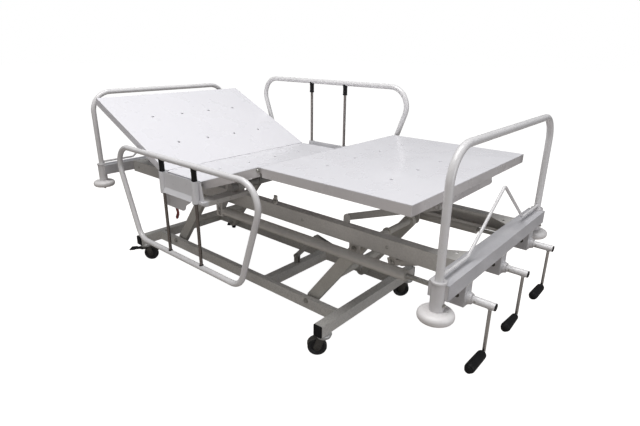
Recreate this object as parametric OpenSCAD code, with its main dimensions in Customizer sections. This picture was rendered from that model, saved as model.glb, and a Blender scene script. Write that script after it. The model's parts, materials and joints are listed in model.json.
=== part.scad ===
/* [Deck] */
// Width of the four deck panels
deck_w = 900; // [800:10:1000]
// Length of the back panel
back_len = 655; // [600:5:700]
// Length of the seat panel between its two hinge lines
seat_len = 262; // [240:2:300]
// Length of the thigh panel between its two hinge lines
thigh_len = 379; // [340:1:400]
// Length of the leg panel
leg_len = 629; // [580:1:640]
// Height of the folded rim round each panel
pan_h = 35; // [30:1:38]
// Thickness of the deck sheet
sheet_t = 2; // [1.5:0.5:3]
// Diameter of the vent holes in the deck
vent_d = 15; // [10:1:20]
// Raised angle of the back panel at rest
back_angle = 25; // [10:1:40]
// Raised angle of the thigh panel at rest
thigh_angle = 19; // [10:1:25]
// Depth of the hinge axes under the deck surface
hinge_drop = 12; // [11:0.5:14]

/* [Upper frame] */
// Distance between the head and foot post axes
post_span = 2032; // [2000:2:2100]
// Distance of each post axis from the centre line
post_y = 429; // [415:1:435]
// Height of the long frame channels
rail_h = 60; // [50:1:60]
// Width of the long frame channels
rail_w = 40; // [30:1:44]
// Outer face of the channels from the centre line
rail_out = 260; // [256:1:261]
// Wall thickness of the channels
rail_t = 3; // [2:0.5:4]
// Width of the end cross members
cross_w = 64; // [50:1:70]
// Height of the end cross members
cross_h = 50; // [40:1:55]
// Height of the seat surface above the channels
seat_rise = 91; // [88:1:100]

/* [Height legs] */
// Length of each leg between its pivots
leg_l = 400; // [380:1:410]
// Lean of the legs from upright at rest
lean = 37.5; // [30:0.5:42]
// Width of the leg tubes
leg_w = 54; // [46:1:56]
// Thickness of the leg tubes
leg_t = 25; // [20:1:26]
// Inner face of the legs from the centre line
leg_in = 167; // [160:1:167]
// Drop of the top pivots under the channels
hanger_drop = 36; // [34:1:40]

/* [Base] */
// Height of the lower leg pivots above the floor
pivot_z = 140; // [136:1:142]
// Height of the base tubes
base_h = 50; // [46:1:50]
// Width of the base cross tubes
base_w = 40; // [34:1:44]
// Width of the base side rails
side_w = 25; // [20:1:26]
// Half length of the base cross tubes
base_half = 352; // [340:1:360]
// Distance between the head and foot cross tubes
base_len = 1349; // [1320:1:1360]
// Height of the top of the base above the floor
base_top = 152; // [151:1:156]

/* [Casters] */
// Wheel diameter
wheel_d = 80; // [70:1:80]
// Wheel width
wheel_w = 22; // [18:1:24]
// Distance of the swivel axes from the centre line
caster_y = 318; // [300:1:325]
// Trail of the wheels behind their swivel axes
trail = 26; // [20:1:30]

/* [End bows] */
// Diameter of the bow and side rail tubes
tube_d = 25; // [20:1:28]
// Height of the bow's top tube axis above the channels
bow_rise = 385; // [300:5:420]
// Bend radius of the bow corners
bow_r = 100; // [80:5:120]
// Diameter of the bow's inner rod
rod_d = 10; // [8:1:12]
// Outer diameter of the post sockets
socket_d = 42; // [36:1:46]
// Diameter of the corner bumper discs
bumper_d = 110; // [90:1:116]
// Thickness of the corner bumper discs
bumper_t = 33; // [26:1:36]

/* [Side rails] */
// Plane of the side rails from the centre line
side_y = 490; // [486:1:500]
// Top length of the side rail between its corners
loop_top = 1082; // [1000:2:1100]
// Bottom length of the side rail between its corners
loop_bottom = 754; // [700:2:800]
// Height of the side rail between tube axes
loop_h = 450; // [440:1:460]
// Vertical travel of the side rails
rail_travel = 275; // [250:1:278]
// Spacing of the two stems
stem_gap = 238; // [200:1:260]
// Diameter of the stems
stem_d = 14; // [12:1:16]

/* [Cranks] */
// Distance of the outer cranks from the centre line
crank_y = 285; // [284:1:290]
// Reach of the crank hubs beyond the foot posts
crank_out = 122; // [110:1:130]
// Length of the crank arms
arm_len = 165; // [140:1:170]
// Diameter of the crank arms
arm_d = 11; // [9:1:12]
// Length of the grips
grip_len = 100; // [80:1:110]
// Diameter of the grips
grip_d = 29; // [24:1:32]
// Diameter of the push tubes
push_d = 40; // [34:1:42]

/* [Hidden] */
$fn = 48;

// Clearances and overruns shared by all pieces
fit = 0.05;
gap = 0.3;
over = 1;
wall = 3;
pin_r = 6;
head_r = 9;
head_t = 6;

// Places along the bed, measured from the middle of its box
foot_x = (post_span + bumper_d / 2 - crank_out) / 2;
head_x = foot_x - post_span;
head_gap = 35;
back_x = head_x + head_gap + back_len;
thigh_x = back_x + seat_len;

// Heights, built up from the floor
lower_z = pivot_z;
upper_z = lower_z + leg_l * cos(lean);
rail_bottom = upper_z + hanger_drop;
frame_top = rail_bottom + rail_h;
deck_z = frame_top + seat_rise;
hinge_z = deck_z - hinge_drop;
knee_x = thigh_x + thigh_len * cos(thigh_angle);
knee_z = hinge_z + thigh_len * sin(thigh_angle);

// Hinge details
rod_r = 5;
sleeve_play = 0.4;
eye_play = 0.5;
sleeve_r = hinge_drop - sheet_t - sleeve_play;
lug_t = 5;
lug_len = 60;
lug_r = hinge_drop - sheet_t - eye_play;
flange_cut = 14;
knee_cut = 18;
back_max = 60;
thigh_max = 35;
edge_back = hinge_drop * tan(back_max / 2) + gap;
edge_thigh = hinge_drop * tan(thigh_max / 2) + gap;
edge_knee = 1;
bolt_r = 7;
bolt_t = 5;

// Stiffening channels under the panels
stiff_y = 150;
stiff_w = 40;
stiff_h = 22;
stiff_in = 26;
vent_y_share = 0.29;
back_vent_shares = [0.3, 0.67];
seat_vent_shares = [0.55];
thigh_vent_shares = [0.5];
leg_vent_shares = [0.26, 0.7];

// Leg pivots
leg_foot_in = 691;
leg_pitch = 993;
leg_foot_x = foot_x - leg_foot_in;
leg_head_x = leg_foot_x - leg_pitch;
leg_out = leg_in + leg_t;
leg_end = 24;
leg_bush_r = 11;
leg_cross_d = 38;
base_rail_y = 217;
nut_t = 7;

// Lift linkage between the base and the foot legs
clevis_in = 962;
clevis_rise = 42;
elbow_run = 128;
elbow_rise = 131;
clevis_x = foot_x - clevis_in;
clevis_z = base_top + clevis_rise;
elbow_x = clevis_x + elbow_run;
elbow_z = clevis_z + elbow_rise;
link_t = 10;
link_w = 22;
rocker_t = 5;
rocker_share = 0.4;
elbow_play = 2.2;

// Screw drives behind the three cranks
crank_z = upper_z;
house_x0 = foot_x - cross_w / 2;
house_x1 = foot_x + cross_w / 2;
screw_r = 9;
shank_r = 8;
push_wall = 3;
nut_len = 40;
screw_len = 300;
yoke_in = 5;
yoke_t = 6;
yoke_w = 44;
yoke_h = 24;
yoke_neck = 36;
yoke_play = 3.4;
lift_arm = 130;
top_x = leg_foot_x + leg_l * sin(lean);
ball_back = 24;
lift_ball_x = house_x0 - ball_back;
lift_dip = acos(lift_arm / (lift_ball_x - top_x));
lift_tilt = 90 - lift_dip;
lift_pin_x = top_x + lift_arm * cos(lift_dip);
lift_pin_z = upper_z - lift_arm * sin(lift_dip);
lift_reach = sqrt(pow(lift_ball_x - lift_pin_x, 2) + pow(upper_z - lift_pin_z, 2));
lift_tube_r = 18;

// Back lift shaft and its arms
shaft_back = 13;
shaft_rise = 24;
shaft_x = thigh_x - shaft_back;
shaft_z = frame_top + shaft_rise;
shaft_r = 15;
lever_x = 82;
lever_t = 8;
arm_t = 8;
arm_y = 121;
roller_r = 17;
roller_w = 28;
roller_n = 9.5;
roller_s = 200;
arm_low_x = 250;
arm_low_z = 77;
arm_w = 30;
cheek_t = 6;
slot_low = 7.2;
slot_high = 1.8;
slot_far = 34;

// Leg section support links
link_set = 42;
link_rise = 17;
link_x = thigh_x + leg_len - link_set;
link_z = frame_top + link_rise;
plate_t = 6;
bar_t = 10;
bar_w = 25;
foot_w = 28;
lug_y = rail_out - rail_w;

// Side rail places
rail_in_x = 1186;
rail_x = foot_x - rail_in_x;
loop_r_top = 95;
loop_r_bottom = 75;
guide_r = 16;
guide_h = 95;
guide_rise = 9;
rail_rest = 5.5;
guide_z = frame_top + guide_rise;
low_z = guide_z - gap - tube_d / 2 - rail_rest - rail_travel;

// Caster rest angles, from +X towards +Y
angle_nf = 221;
angle_ff = 221;
angle_nh = 41;
angle_fh = 130;
wheel_r = wheel_d / 2;
plate_z = base_top - base_h;

// Shared shapes
// A bar along X with a square section, named by its corner and size
module box(x0, x1, y0, y1, z0, z1) {
  translate([x0, y0, z0]) cube([x1 - x0, y1 - y0, z1 - z0]);
}
// A cylinder along Y from y0 to y1 at x, z
module ycyl(x, z, r, y0, y1) {
  translate([x, y1, z]) rotate([90, 0, 0]) cylinder(h = y1 - y0, r = r);
}
// A cylinder along X from x0 to x1 at y, z
module xcyl(x0, x1, y, z, r) {
  translate([x0, y, z]) rotate([0, 90, 0]) cylinder(h = x1 - x0, r = r);
}
// A hexagonal head along Y
module yhex(x, z, r, y0, y1) {
  translate([x, y1, z]) rotate([90, 0, 0]) cylinder(h = y1 - y0, r = r, $fn = 6);
}
// A flat bar with round ends between two points of the XZ plane, cut from plate
module bar_plate(x0, z0, x1, z1, w, y0, y1) {
  len = sqrt(pow(x1 - x0, 2) + pow(z1 - z0, 2));
  turn = atan2(z1 - z0, x1 - x0);
  translate([x0, y1, z0]) rotate([90, 0, 0]) rotate([0, 0, turn]) linear_extrude(y1 - y0) {
    translate([0, -w / 2]) square([len, w]);
    circle(w / 2);
    translate([len, 0]) circle(w / 2);
  }
}
// A bent flat bar through points of the XZ plane, with a disc of its own radius at each point
module bar_path(pts, discs, w, y0, y1) {
  translate([0, y1, 0]) rotate([90, 0, 0]) linear_extrude(y1 - y0) {
    for (i = [0:len(pts) - 1]) translate(pts[i]) circle(discs[i]);
    for (i = [0:len(pts) - 2]) {
      step = pts[i + 1] - pts[i];
      translate(pts[i]) rotate([0, 0, atan2(step[1], step[0])]) translate([0, -w / 2]) square([norm(step), w]);
    }
  }
}
// Both sides of the bed
module both() {
  children();
  mirror([0, 1, 0]) children();
}
// A rectangular tube along X
module tube_x(x0, x1, y0, y1, z0, z1, t) {
  difference() {
    box(x0, x1, y0, y1, z0, z1);
    box(x0 - over, x1 + over, y0 + t, y1 - t, z0 + t, z1 - t);
  }
}
// A rectangular tube along Y
module tube_y(x0, x1, y0, y1, z0, z1, t) {
  difference() {
    box(x0, x1, y0, y1, z0, z1);
    box(x0 + t, x1 - t, y0 - over, y1 + over, z0 + t, z1 - t);
  }
}

// Deck panels, each drawn along +X from its hinge axis at the origin
// The sheet with its vent holes
module pan_sheet(x0, x1, len, shares) {
  difference() {
    box(x0, x1, -deck_w / 2, deck_w / 2, hinge_drop - sheet_t, hinge_drop);
    for (s = shares) for (k = [-1.5, -0.5, 0.5, 1.5])
      translate([len * s, k * deck_w * vent_y_share * 2 / 3, 0]) cylinder(h = pan_h, r = vent_d / 2);
  }
}
// One folded side rim, from x0 to x1
module side_rim(x0, x1) {
  both() box(x0, x1, deck_w / 2 - sheet_t, deck_w / 2, hinge_drop - pan_h, hinge_drop);
}
// Low end of a rim, from x0 to x1, with the round eye at x that carries the hinge rod
module rim_eye(x0, x1, x) {
  both() {
    box(x0, x1, deck_w / 2 - sheet_t, deck_w / 2, hinge_drop - pan_h, 0);
    ycyl(x, 0, lug_r, deck_w / 2 - sheet_t, deck_w / 2);
  }
}
// Holes for the hinge rod through everything at x
module rod_hole(x, r) {
  ycyl(x, 0, r, -deck_w, deck_w);
}
// Two hat channels under the sheet, their upper edges the given play below it
module stiffeners(x0, x1, play) {
  both() difference() {
    box(x0, x1, stiff_y - stiff_w / 2, stiff_y + stiff_w / 2, hinge_drop - sheet_t - stiff_h, hinge_drop - sheet_t - play);
    box(x0 - over, x1 + over, stiff_y - stiff_w / 2 + sheet_t, stiff_y + stiff_w / 2 - sheet_t,
        hinge_drop - stiff_h, hinge_drop - sheet_t + over);
  }
}
// Inner hinge lugs that turn on the rod at the origin
module hinge_lugs(cut) {
  inner = deck_w / 2 - sheet_t;
  both() {
    difference() {
      union() {
        ycyl(0, 0, lug_r, inner - gap - lug_t, inner - gap);
        box(0, lug_len, inner - gap - lug_t, inner - gap, -lug_r, lug_r - sheet_t);
        box(cut + over, lug_len, inner - gap - lug_t, inner + sheet_t / 2, -lug_r, lug_r - sheet_t);
      }
      ycyl(0, 0, rod_r + fit, 0, deck_w);
    }
  }
}
// A panel that turns on the rod at the origin and ends free at len
module moving_panel(len, x0, x1, cut, rim_end, shares, end_rim) {
  difference() {
    union() {
      pan_sheet(x0, x1, len, shares);
      side_rim(cut, rim_end);
      if (end_rim) box(x1 - sheet_t, x1, -deck_w / 2, deck_w / 2, hinge_drop - pan_h, hinge_drop);
      stiffeners(x0 + stiff_in, x1 - stiff_in, 0);
      hinge_lugs(cut);
    }
    rod_hole(0, rod_r + fit);
  }
}
// Hinge rod with its spacer sleeve and two bolt heads
module hinge_rod(x, z) {
  inner = deck_w / 2 - sheet_t - 2 * gap - lug_t;
  translate([x, 0, z]) {
    ycyl(0, 0, rod_r, -deck_w / 2, deck_w / 2);
    ycyl(0, 0, sleeve_r, -inner, inner);
    both() yhex(0, 0, bolt_r, deck_w / 2, deck_w / 2 + bolt_t);
  }
}

// Back panel, raised towards the head end
module back_panel() {
  color("ghostwhite") translate([back_x, 0, hinge_z]) rotate([0, back_angle, 0]) mirror([1, 0, 0])
    difference() {
      union() {
        moving_panel(back_len, edge_back, back_len, flange_cut, back_len, back_vent_shares, true);
        both() box(roller_s - 2 * roller_r, roller_s + slot_far + 2 * roller_r, stiff_y - stiff_w / 2,
                   stiff_y - stiff_w / 2 + cheek_t, -roller_n - slot_low - 2 * pin_r, hinge_drop - sheet_t);
      }
      both() box(roller_s - pin_r - slot_high, roller_s + slot_far + pin_r, 0, stiff_y,
                 -roller_n - slot_low - pin_r, -roller_n + slot_high + pin_r);
      both() box(roller_s - roller_r - slot_high - over, roller_s + slot_far + roller_r + over,
                 stiff_y - stiff_w / 2 + cheek_t, stiff_y + stiff_w / 2 - sheet_t, -pan_h, hinge_drop - stiff_h + over);
    }
}
// Seat panel, fixed level over the bearers
module seat_panel() {
  color("ghostwhite") translate([back_x, 0, hinge_z]) difference() {
    union() {
      pan_sheet(edge_back, seat_len - edge_thigh, seat_len, seat_vent_shares);
      side_rim(edge_back, seat_len - edge_thigh);
      rim_eye(0, edge_back, 0);
      rim_eye(seat_len - edge_thigh, seat_len, seat_len);
      stiffeners(stiff_in, seat_len - stiff_in, fit);
    }
    rod_hole(0, rod_r + fit);
    rod_hole(seat_len, rod_r + fit);
  }
}
// Thigh panel with the lever that the knee push tube pulls
module thigh_panel() {
  color("ghostwhite") translate([thigh_x, 0, hinge_z]) rotate([0, -thigh_angle, 0]) {
    difference() {
      union() {
        moving_panel(thigh_len, edge_thigh, thigh_len - edge_knee, flange_cut, thigh_len - edge_knee,
                     thigh_vent_shares, false);
        rim_eye(thigh_len - edge_knee, thigh_len, thigh_len);
      }
      rod_hole(thigh_len, rod_r + fit);
    }
  }
  color("silver") thigh_lever();
}
lever_drop = hinge_z - crank_z;
module thigh_lever() {
  y0 = crank_y - lever_t / 2;
  y1 = crank_y + lever_t / 2;
  translate([thigh_x, 0, hinge_z]) {
    difference() {
      union() {
        bar_plate(0, -lever_drop, 0, -bar_w - bar_w / 2, bar_w, y0, y1);
        rotate([0, -thigh_angle, 0]) bar_plate(bar_w / 2, -bar_w, 4 * bar_w, -bar_w / 2, bar_w, y0, y1);
        rotate([0, -thigh_angle, 0]) box(bar_w, 4 * bar_w, y0, y1, -bar_w / 2, hinge_drop - sheet_t);
        ycyl(0, -lever_drop, pin_r, y0 - bar_t, y1 + bar_t);
      }
      ycyl(0, 0, bar_w / 2 + gap, 0, deck_w);
    }
  }
}
// Leg panel, kept level, with the two feet that the support links carry
foot_y = lug_y - plate_t - 2 * gap - bar_t;
module leg_panel() {
  link_dx = thigh_len * cos(thigh_angle);
  link_dz = thigh_len * sin(thigh_angle);
  color("ghostwhite") translate([knee_x, 0, knee_z])
    moving_panel(leg_len, edge_knee, leg_len, knee_cut, leg_len, leg_vent_shares, true);
  color("silver") {
    both() {
      box(link_x + link_dx - foot_w / 2, link_x + link_dx + foot_w / 2, foot_y - plate_t, foot_y,
          link_z + link_dz, knee_z + hinge_drop - sheet_t);
      ycyl(link_x + link_dx, link_z + link_dz, foot_w / 2, foot_y - plate_t, foot_y);
      ycyl(link_x + link_dx, link_z + link_dz, pin_r, foot_y - plate_t, foot_y + bar_t + 2 * gap);
    }
    tube_y(link_x + link_dx - foot_w / 2, link_x + link_dx + foot_w / 2,
           -foot_y + plate_t, foot_y - plate_t, knee_z - hinge_drop - 2 * foot_w, knee_z - hinge_drop - foot_w, sheet_t);
  }
}
// The two parallel links that keep the leg panel level
module leg_links() {
  link_dx = thigh_len * cos(thigh_angle);
  link_dz = thigh_len * sin(thigh_angle);
  y0 = foot_y + gap;
  color("silver") both() difference() {
    bar_plate(link_x, link_z, link_x + link_dx, link_z + link_dz, bar_w, y0, y0 + bar_t);
    ycyl(link_x, link_z, pin_r + fit, y0 - over, y0 + bar_t + over);
    ycyl(link_x + link_dx, link_z + link_dz, pin_r + 4 * gap, y0 - over, y0 + bar_t + over);
  }
}
module deck_hinge_rods() {
  color("gainsboro") {
    hinge_rod(back_x, hinge_z);
    hinge_rod(thigh_x, hinge_z);
  }
}
module knee_hinge_rod() {
  color("gainsboro") hinge_rod(knee_x, knee_z);
}

// Base
foot_tube_in = 514;
foot_tube_x = foot_x - foot_tube_in;
head_tube_x = foot_tube_x - base_len;
base_t = 3;
cap_out = 8;
rail_in_y = base_rail_y - side_w / 2;
rail_out_y = base_rail_y + side_w / 2;
module base_cross_tubes() {
  color("slategray") {
    for (x = [foot_tube_x, head_tube_x])
      tube_y(x - base_w / 2, x + base_w / 2, -base_half, base_half, plate_z, base_top, base_t);
    tube_y(clevis_x - base_w / 2, clevis_x + base_w / 2, -rail_in_y, rail_in_y, plate_z, base_top, base_t);
  }
}
module base_rails() {
  color("slategray") both()
    tube_x(head_tube_x + base_w / 2, foot_tube_x - base_w / 2, rail_in_y, rail_out_y, plate_z, base_top, base_t);
}
module base_end_caps() {
  color("black") both() for (x = [foot_tube_x, head_tube_x])
    box(x - base_w / 2, x + base_w / 2, base_half, base_half + cap_out, plate_z, base_top);
}
// Lower leg pivots with their bushes and nuts, and the clevis of the lift linkage
module base_pivot_bolts() {
  color("silver") {
    both() for (x = [leg_foot_x, leg_head_x]) {
      ycyl(x, lower_z, leg_bush_r, leg_out + gap, rail_in_y);
      ycyl(x, lower_z, pin_r, leg_in - gap, rail_in_y);
      ycyl(x, lower_z, head_r, leg_in - gap - head_t, leg_in - gap);
      yhex(x, lower_z, head_r, rail_out_y, rail_out_y + nut_t);
    }
    both() {
      box(clevis_x - link_w / 2, clevis_x + link_w / 2, link_t / 2 + gap, link_t / 2 + gap + plate_t, base_top, clevis_z);
      ycyl(clevis_x, clevis_z, link_w / 2, link_t / 2 + gap, link_t / 2 + gap + plate_t);
      ycyl(clevis_x, clevis_z, head_r, link_t / 2 + gap + plate_t, link_t / 2 + gap + plate_t + head_t);
    }
    ycyl(clevis_x, clevis_z, pin_r, -link_t / 2 - gap - over, link_t / 2 + gap + over);
  }
}

// Casters
swivel_r = 9;
disc_r = 30;
disc_t = 10;
cap_t = 8;
fork_gap = 1;
fork_t = 4;
fork_w = 30;
disc_z = plate_z - cap_t - gap - disc_t;
ear_x = -22;
ear_z = 72;
pedal_pin = 4;
pedal_r = 8;
pedal_len = 72;
pedal_w = 44;
pad_extra = 4;
module caster_plates() {
  color("lightgray") both() for (x = [foot_tube_x, head_tube_x]) translate([x, caster_y, 0]) {
    translate([0, 0, plate_z - cap_t]) cylinder(h = cap_t, r = disc_r + gap);
    translate([0, 0, disc_z + gap]) cylinder(h = disc_t, r = swivel_r);
  }
}
// One fork with its axle, wheel to the +X side of the swivel
module fork(ears) {
  y0 = wheel_w / 2 + fork_gap;
  difference() {
    translate([0, 0, disc_z]) cylinder(h = disc_t, r = disc_r);
    translate([0, 0, disc_z - over]) cylinder(h = disc_t + 2 * over, r = swivel_r + fit);
  }
  both() {
    difference() {
      bar_plate(fork_w / 3, disc_z, trail, wheel_r, fork_w, y0, y0 + fork_t);
      box(-wheel_d, wheel_d, 0, wheel_d, disc_z + disc_t / 2, plate_z + wheel_d);
    }
    ycyl(trail, wheel_r, head_r, y0 + fork_t, y0 + 2 * fork_t);
    if (ears) {
      box(ear_x - pedal_r, 0, y0, y0 + fork_t, ear_z, disc_z + disc_t / 2);
      box(ear_x, 0, y0, y0 + fork_t, ear_z - pedal_r, ear_z);
      ycyl(ear_x, ear_z, pedal_r, y0, y0 + fork_t);
    }
  }
  ycyl(trail, wheel_r, pin_r, -y0, y0);
  if (ears) ycyl(ear_x, ear_z, pedal_pin, -y0, y0);
}
module place_caster(x, y, turn) {
  translate([x, y, 0]) rotate([0, 0, turn]) children();
}
module caster_fork_nf() {
  color("dimgray") place_caster(foot_tube_x, -caster_y, angle_nf) fork(false);
}
module caster_fork_ff() {
  color("dimgray") place_caster(foot_tube_x, caster_y, angle_ff) fork(false);
}
module caster_fork_nh() {
  color("dimgray") place_caster(head_tube_x, -caster_y, angle_nh) fork(true);
}
module caster_fork_fh() {
  color("dimgray") place_caster(head_tube_x, caster_y, angle_fh) fork(true);
}
tread_in = 6;
hub_r = 14;
rim_dip = 4;
module wheel() {
  difference() {
    ycyl(trail, wheel_r, wheel_r, -wheel_w / 2, wheel_w / 2);
    ycyl(trail, wheel_r, pin_r + fit, -wheel_w, wheel_w);
    both() difference() {
      ycyl(trail, wheel_r, wheel_r - 2 * tread_in, wheel_w / 2 - rim_dip, wheel_w);
      ycyl(trail, wheel_r, hub_r, 0, wheel_w + over);
    }
  }
}
module caster_wheel_nf() {
  color("black") place_caster(foot_tube_x, -caster_y, angle_nf) wheel();
}
module caster_wheel_ff() {
  color("black") place_caster(foot_tube_x, caster_y, angle_ff) wheel();
}
module caster_wheel_nh() {
  color("black") place_caster(head_tube_x, -caster_y, angle_nh) wheel();
}
module caster_wheel_fh() {
  color("black") place_caster(head_tube_x, caster_y, angle_fh) wheel();
}
module pedal() {
  y0 = wheel_w / 2 + fork_gap - gap;
  difference() {
    union() {
      bar_path([[ear_x, ear_z], [ear_x - pedal_len, ear_z - pedal_r]], [pedal_r, pedal_r / 2], pedal_r, -y0, y0);
      bar_plate(ear_x - pedal_len / 2, ear_z - pedal_r / 2, ear_x - pedal_len + pedal_r / 2, ear_z - pedal_r,
                pedal_r + pad_extra, -pedal_w / 2, pedal_w / 2);
    }
    ycyl(ear_x, ear_z, pedal_pin + fit, -wheel_d, wheel_d);
  }
}
module brake_pedal_near() {
  color("black") place_caster(head_tube_x, -caster_y, angle_nh) pedal();
}
module brake_pedal_far() {
  color("black") place_caster(head_tube_x, caster_y, angle_fh) pedal();
}

// Height legs, each pair joined by a cross tube
cross_share = 0.4;
top_tube_r = 14;
module leg_pair(x) {
  tx = x + leg_l * sin(lean);
  mx = x + leg_l * cross_share * sin(lean);
  mz = lower_z + leg_l * cross_share * cos(lean);
  difference() {
    both() bar_plate(x, lower_z, tx, upper_z, leg_w, leg_in, leg_out);
    ycyl(x, lower_z, pin_r + fit, -deck_w, deck_w);
    ycyl(tx, upper_z, pin_r + fit, -deck_w, deck_w);
  }
  ycyl(mx, mz, leg_cross_d / 2, -leg_in, leg_in);
}
module legs_head() {
  color("lightgray") leg_pair(leg_head_x);
}
module legs_foot() {
  color("lightgray") {
    leg_pair(leg_foot_x);
    ycyl(top_x, upper_z, top_tube_r, -leg_in, leg_in);
    bar_path([[top_x, upper_z], [lift_pin_x, lift_pin_z]], [top_tube_r + plate_t, arm_w / 2], arm_w,
             -lever_t / 2, lever_t / 2);
    ycyl(lift_pin_x, lift_pin_z, pin_r, -yoke_in - yoke_t - over, yoke_in + yoke_t + over);
  }
}
cross_x = leg_foot_x + leg_l * rocker_share * sin(lean);
cross_z = lower_z + leg_l * rocker_share * cos(lean);
module lift_link() {
  color("silver") {
    difference() {
      bar_plate(clevis_x, clevis_z, elbow_x, elbow_z, link_w, -link_t / 2, link_t / 2);
      ycyl(clevis_x, clevis_z, pin_r + fit, -link_t, link_t);
    }
    ycyl(elbow_x, elbow_z, pin_r, -link_t / 2 - gap - rocker_t - over, link_t / 2 + gap + rocker_t + over);
  }
}
module lift_rocker() {
  y0 = link_t / 2 + gap;
  eye_r = leg_cross_d / 2 + 2 * rocker_t;
  color("silver") difference() {
    union() {
      both() bar_plate(elbow_x, elbow_z, cross_x, cross_z, link_w + elbow_play, y0, y0 + rocker_t);
      ycyl(cross_x, cross_z, eye_r, -y0 - rocker_t, y0 + rocker_t);
    }
    ycyl(cross_x, cross_z, leg_cross_d / 2 + fit, -deck_w, deck_w);
    ycyl(elbow_x, elbow_z, pin_r + elbow_play, -deck_w, deck_w);
  }
}

// Screw drives
// A push tube pulled along +X with a forked end whose slot takes a lever pin
module push_tube(len, r, low, high) {
  difference() {
    xcyl(yoke_neck, len, 0, 0, r);
    xcyl(yoke_neck + push_wall, len - nut_len, 0, 0, r - push_wall);
    xcyl(len - nut_len - over, len + over, 0, 0, screw_r + fit);
  }
  both() difference() {
    union() {
      box(-yoke_w / 2, yoke_w / 2, yoke_in, yoke_in + yoke_t, low - 2 * pin_r, high + 2 * pin_r);
      box(0, yoke_neck, yoke_in, yoke_in + yoke_t, -yoke_h / 2, yoke_h / 2);
    }
    box(-pin_r - yoke_play, pin_r + yoke_play, 0, deck_w, low - pin_r, high + pin_r);
  }
}
shaft_drop = shaft_z - crank_z;
back_pin_x = shaft_x - lever_x;
back_tube_len = house_x0 - screw_len / 2 - back_pin_x;
knee_tube_len = house_x0 - screw_len / 2 - thigh_x;
lift_tube_share = 0.8;
lift_screw_share = 0.55;
lift_tube_len = lift_reach * lift_tube_share;
back_slot = [-15.5, 30];
knee_slot = [-1, 11];
lift_slot = [-1.5, 11.5];
module back_push_tube() {
  color("gainsboro") translate([back_pin_x, -crank_y, crank_z])
    push_tube(back_tube_len, push_d / 2, back_slot[0], back_slot[1]);
}
module knee_push_tube() {
  color("gainsboro") translate([thigh_x, crank_y, crank_z])
    push_tube(knee_tube_len, push_d / 2, knee_slot[0], knee_slot[1]);
}
module lift_push_tube() {
  color("gainsboro") translate([lift_pin_x, 0, lift_pin_z]) rotate([0, -lift_tilt, 0])
    push_tube(lift_tube_len, lift_tube_r, lift_slot[0], lift_slot[1]);
}
ball_r = 15;
module lift_screw() {
  color("silver") translate([lift_ball_x, 0, crank_z]) rotate([0, -lift_tilt, 0]) {
    xcyl(-lift_reach * lift_screw_share, -ball_r / 2, 0, 0, screw_r);
    difference() {
      sphere(ball_r);
      rotate([0, lift_tilt, 0]) xcyl(ball_r / 2, 2 * ball_r, 0, 0, ball_r);
    }
  }
}

// Upper frame
module frame_rails() {
  lip = rail_h / 5;
  color("silver") both() difference() {
    box(head_x + cross_w / 2, foot_x - cross_w / 2, rail_out - rail_w, rail_out, rail_bottom, frame_top);
    box(head_x, foot_x, rail_out - rail_w + rail_t, rail_out - rail_t, rail_bottom + rail_t, frame_top - rail_t);
    box(head_x, foot_x, rail_out - rail_w - over, rail_out - rail_t, rail_bottom + lip, frame_top - lip);
  }
}
module frame_cross_members() {
  color("silver") difference() {
    for (x = [head_x, foot_x])
      tube_y(x - cross_w / 2, x + cross_w / 2, -post_y, post_y, frame_top - cross_h, frame_top, rail_t);
    for (x = [head_x, foot_x]) for (y = [-post_y, post_y])
      translate([x, y, rail_bottom]) cylinder(h = 2 * rail_h, r = socket_d / 2);
  }
}
socket_low = 86;
socket_up = 7;
floor_t = 6;
stub_r = 8;
collar_out = 2;
module at_posts() {
  for (x = [head_x, foot_x]) for (y = [-post_y, post_y]) translate([x, y, 0]) children();
}
bore_r = tube_d / 2 + fit;
socket_z = frame_top - socket_low;
module post_sockets() {
  color("gainsboro") at_posts() {
    difference() {
      union() {
        translate([0, 0, socket_z]) cylinder(h = socket_low + socket_up, r = socket_d / 2);
        translate([0, 0, frame_top]) cylinder(h = socket_up, r = socket_d / 2 + collar_out);
      }
      translate([0, 0, socket_z + floor_t]) cylinder(h = 2 * socket_low, r = bore_r);
    }
    translate([0, 0, socket_z - bumper_t - gap]) cylinder(h = bumper_t + 2 * gap, r = stub_r);
    translate([0, 0, socket_z - bumper_t - 2 * gap - fork_t]) cylinder(h = fork_t + gap, r = stub_r + fork_t);
  }
}
gusset = 90;
gusset_share = 0.6;
hanger_x = 24;
bear_w = 20;
lug_top = 32;
knob_in = 840;
knob_x = foot_x - knob_in;
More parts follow.
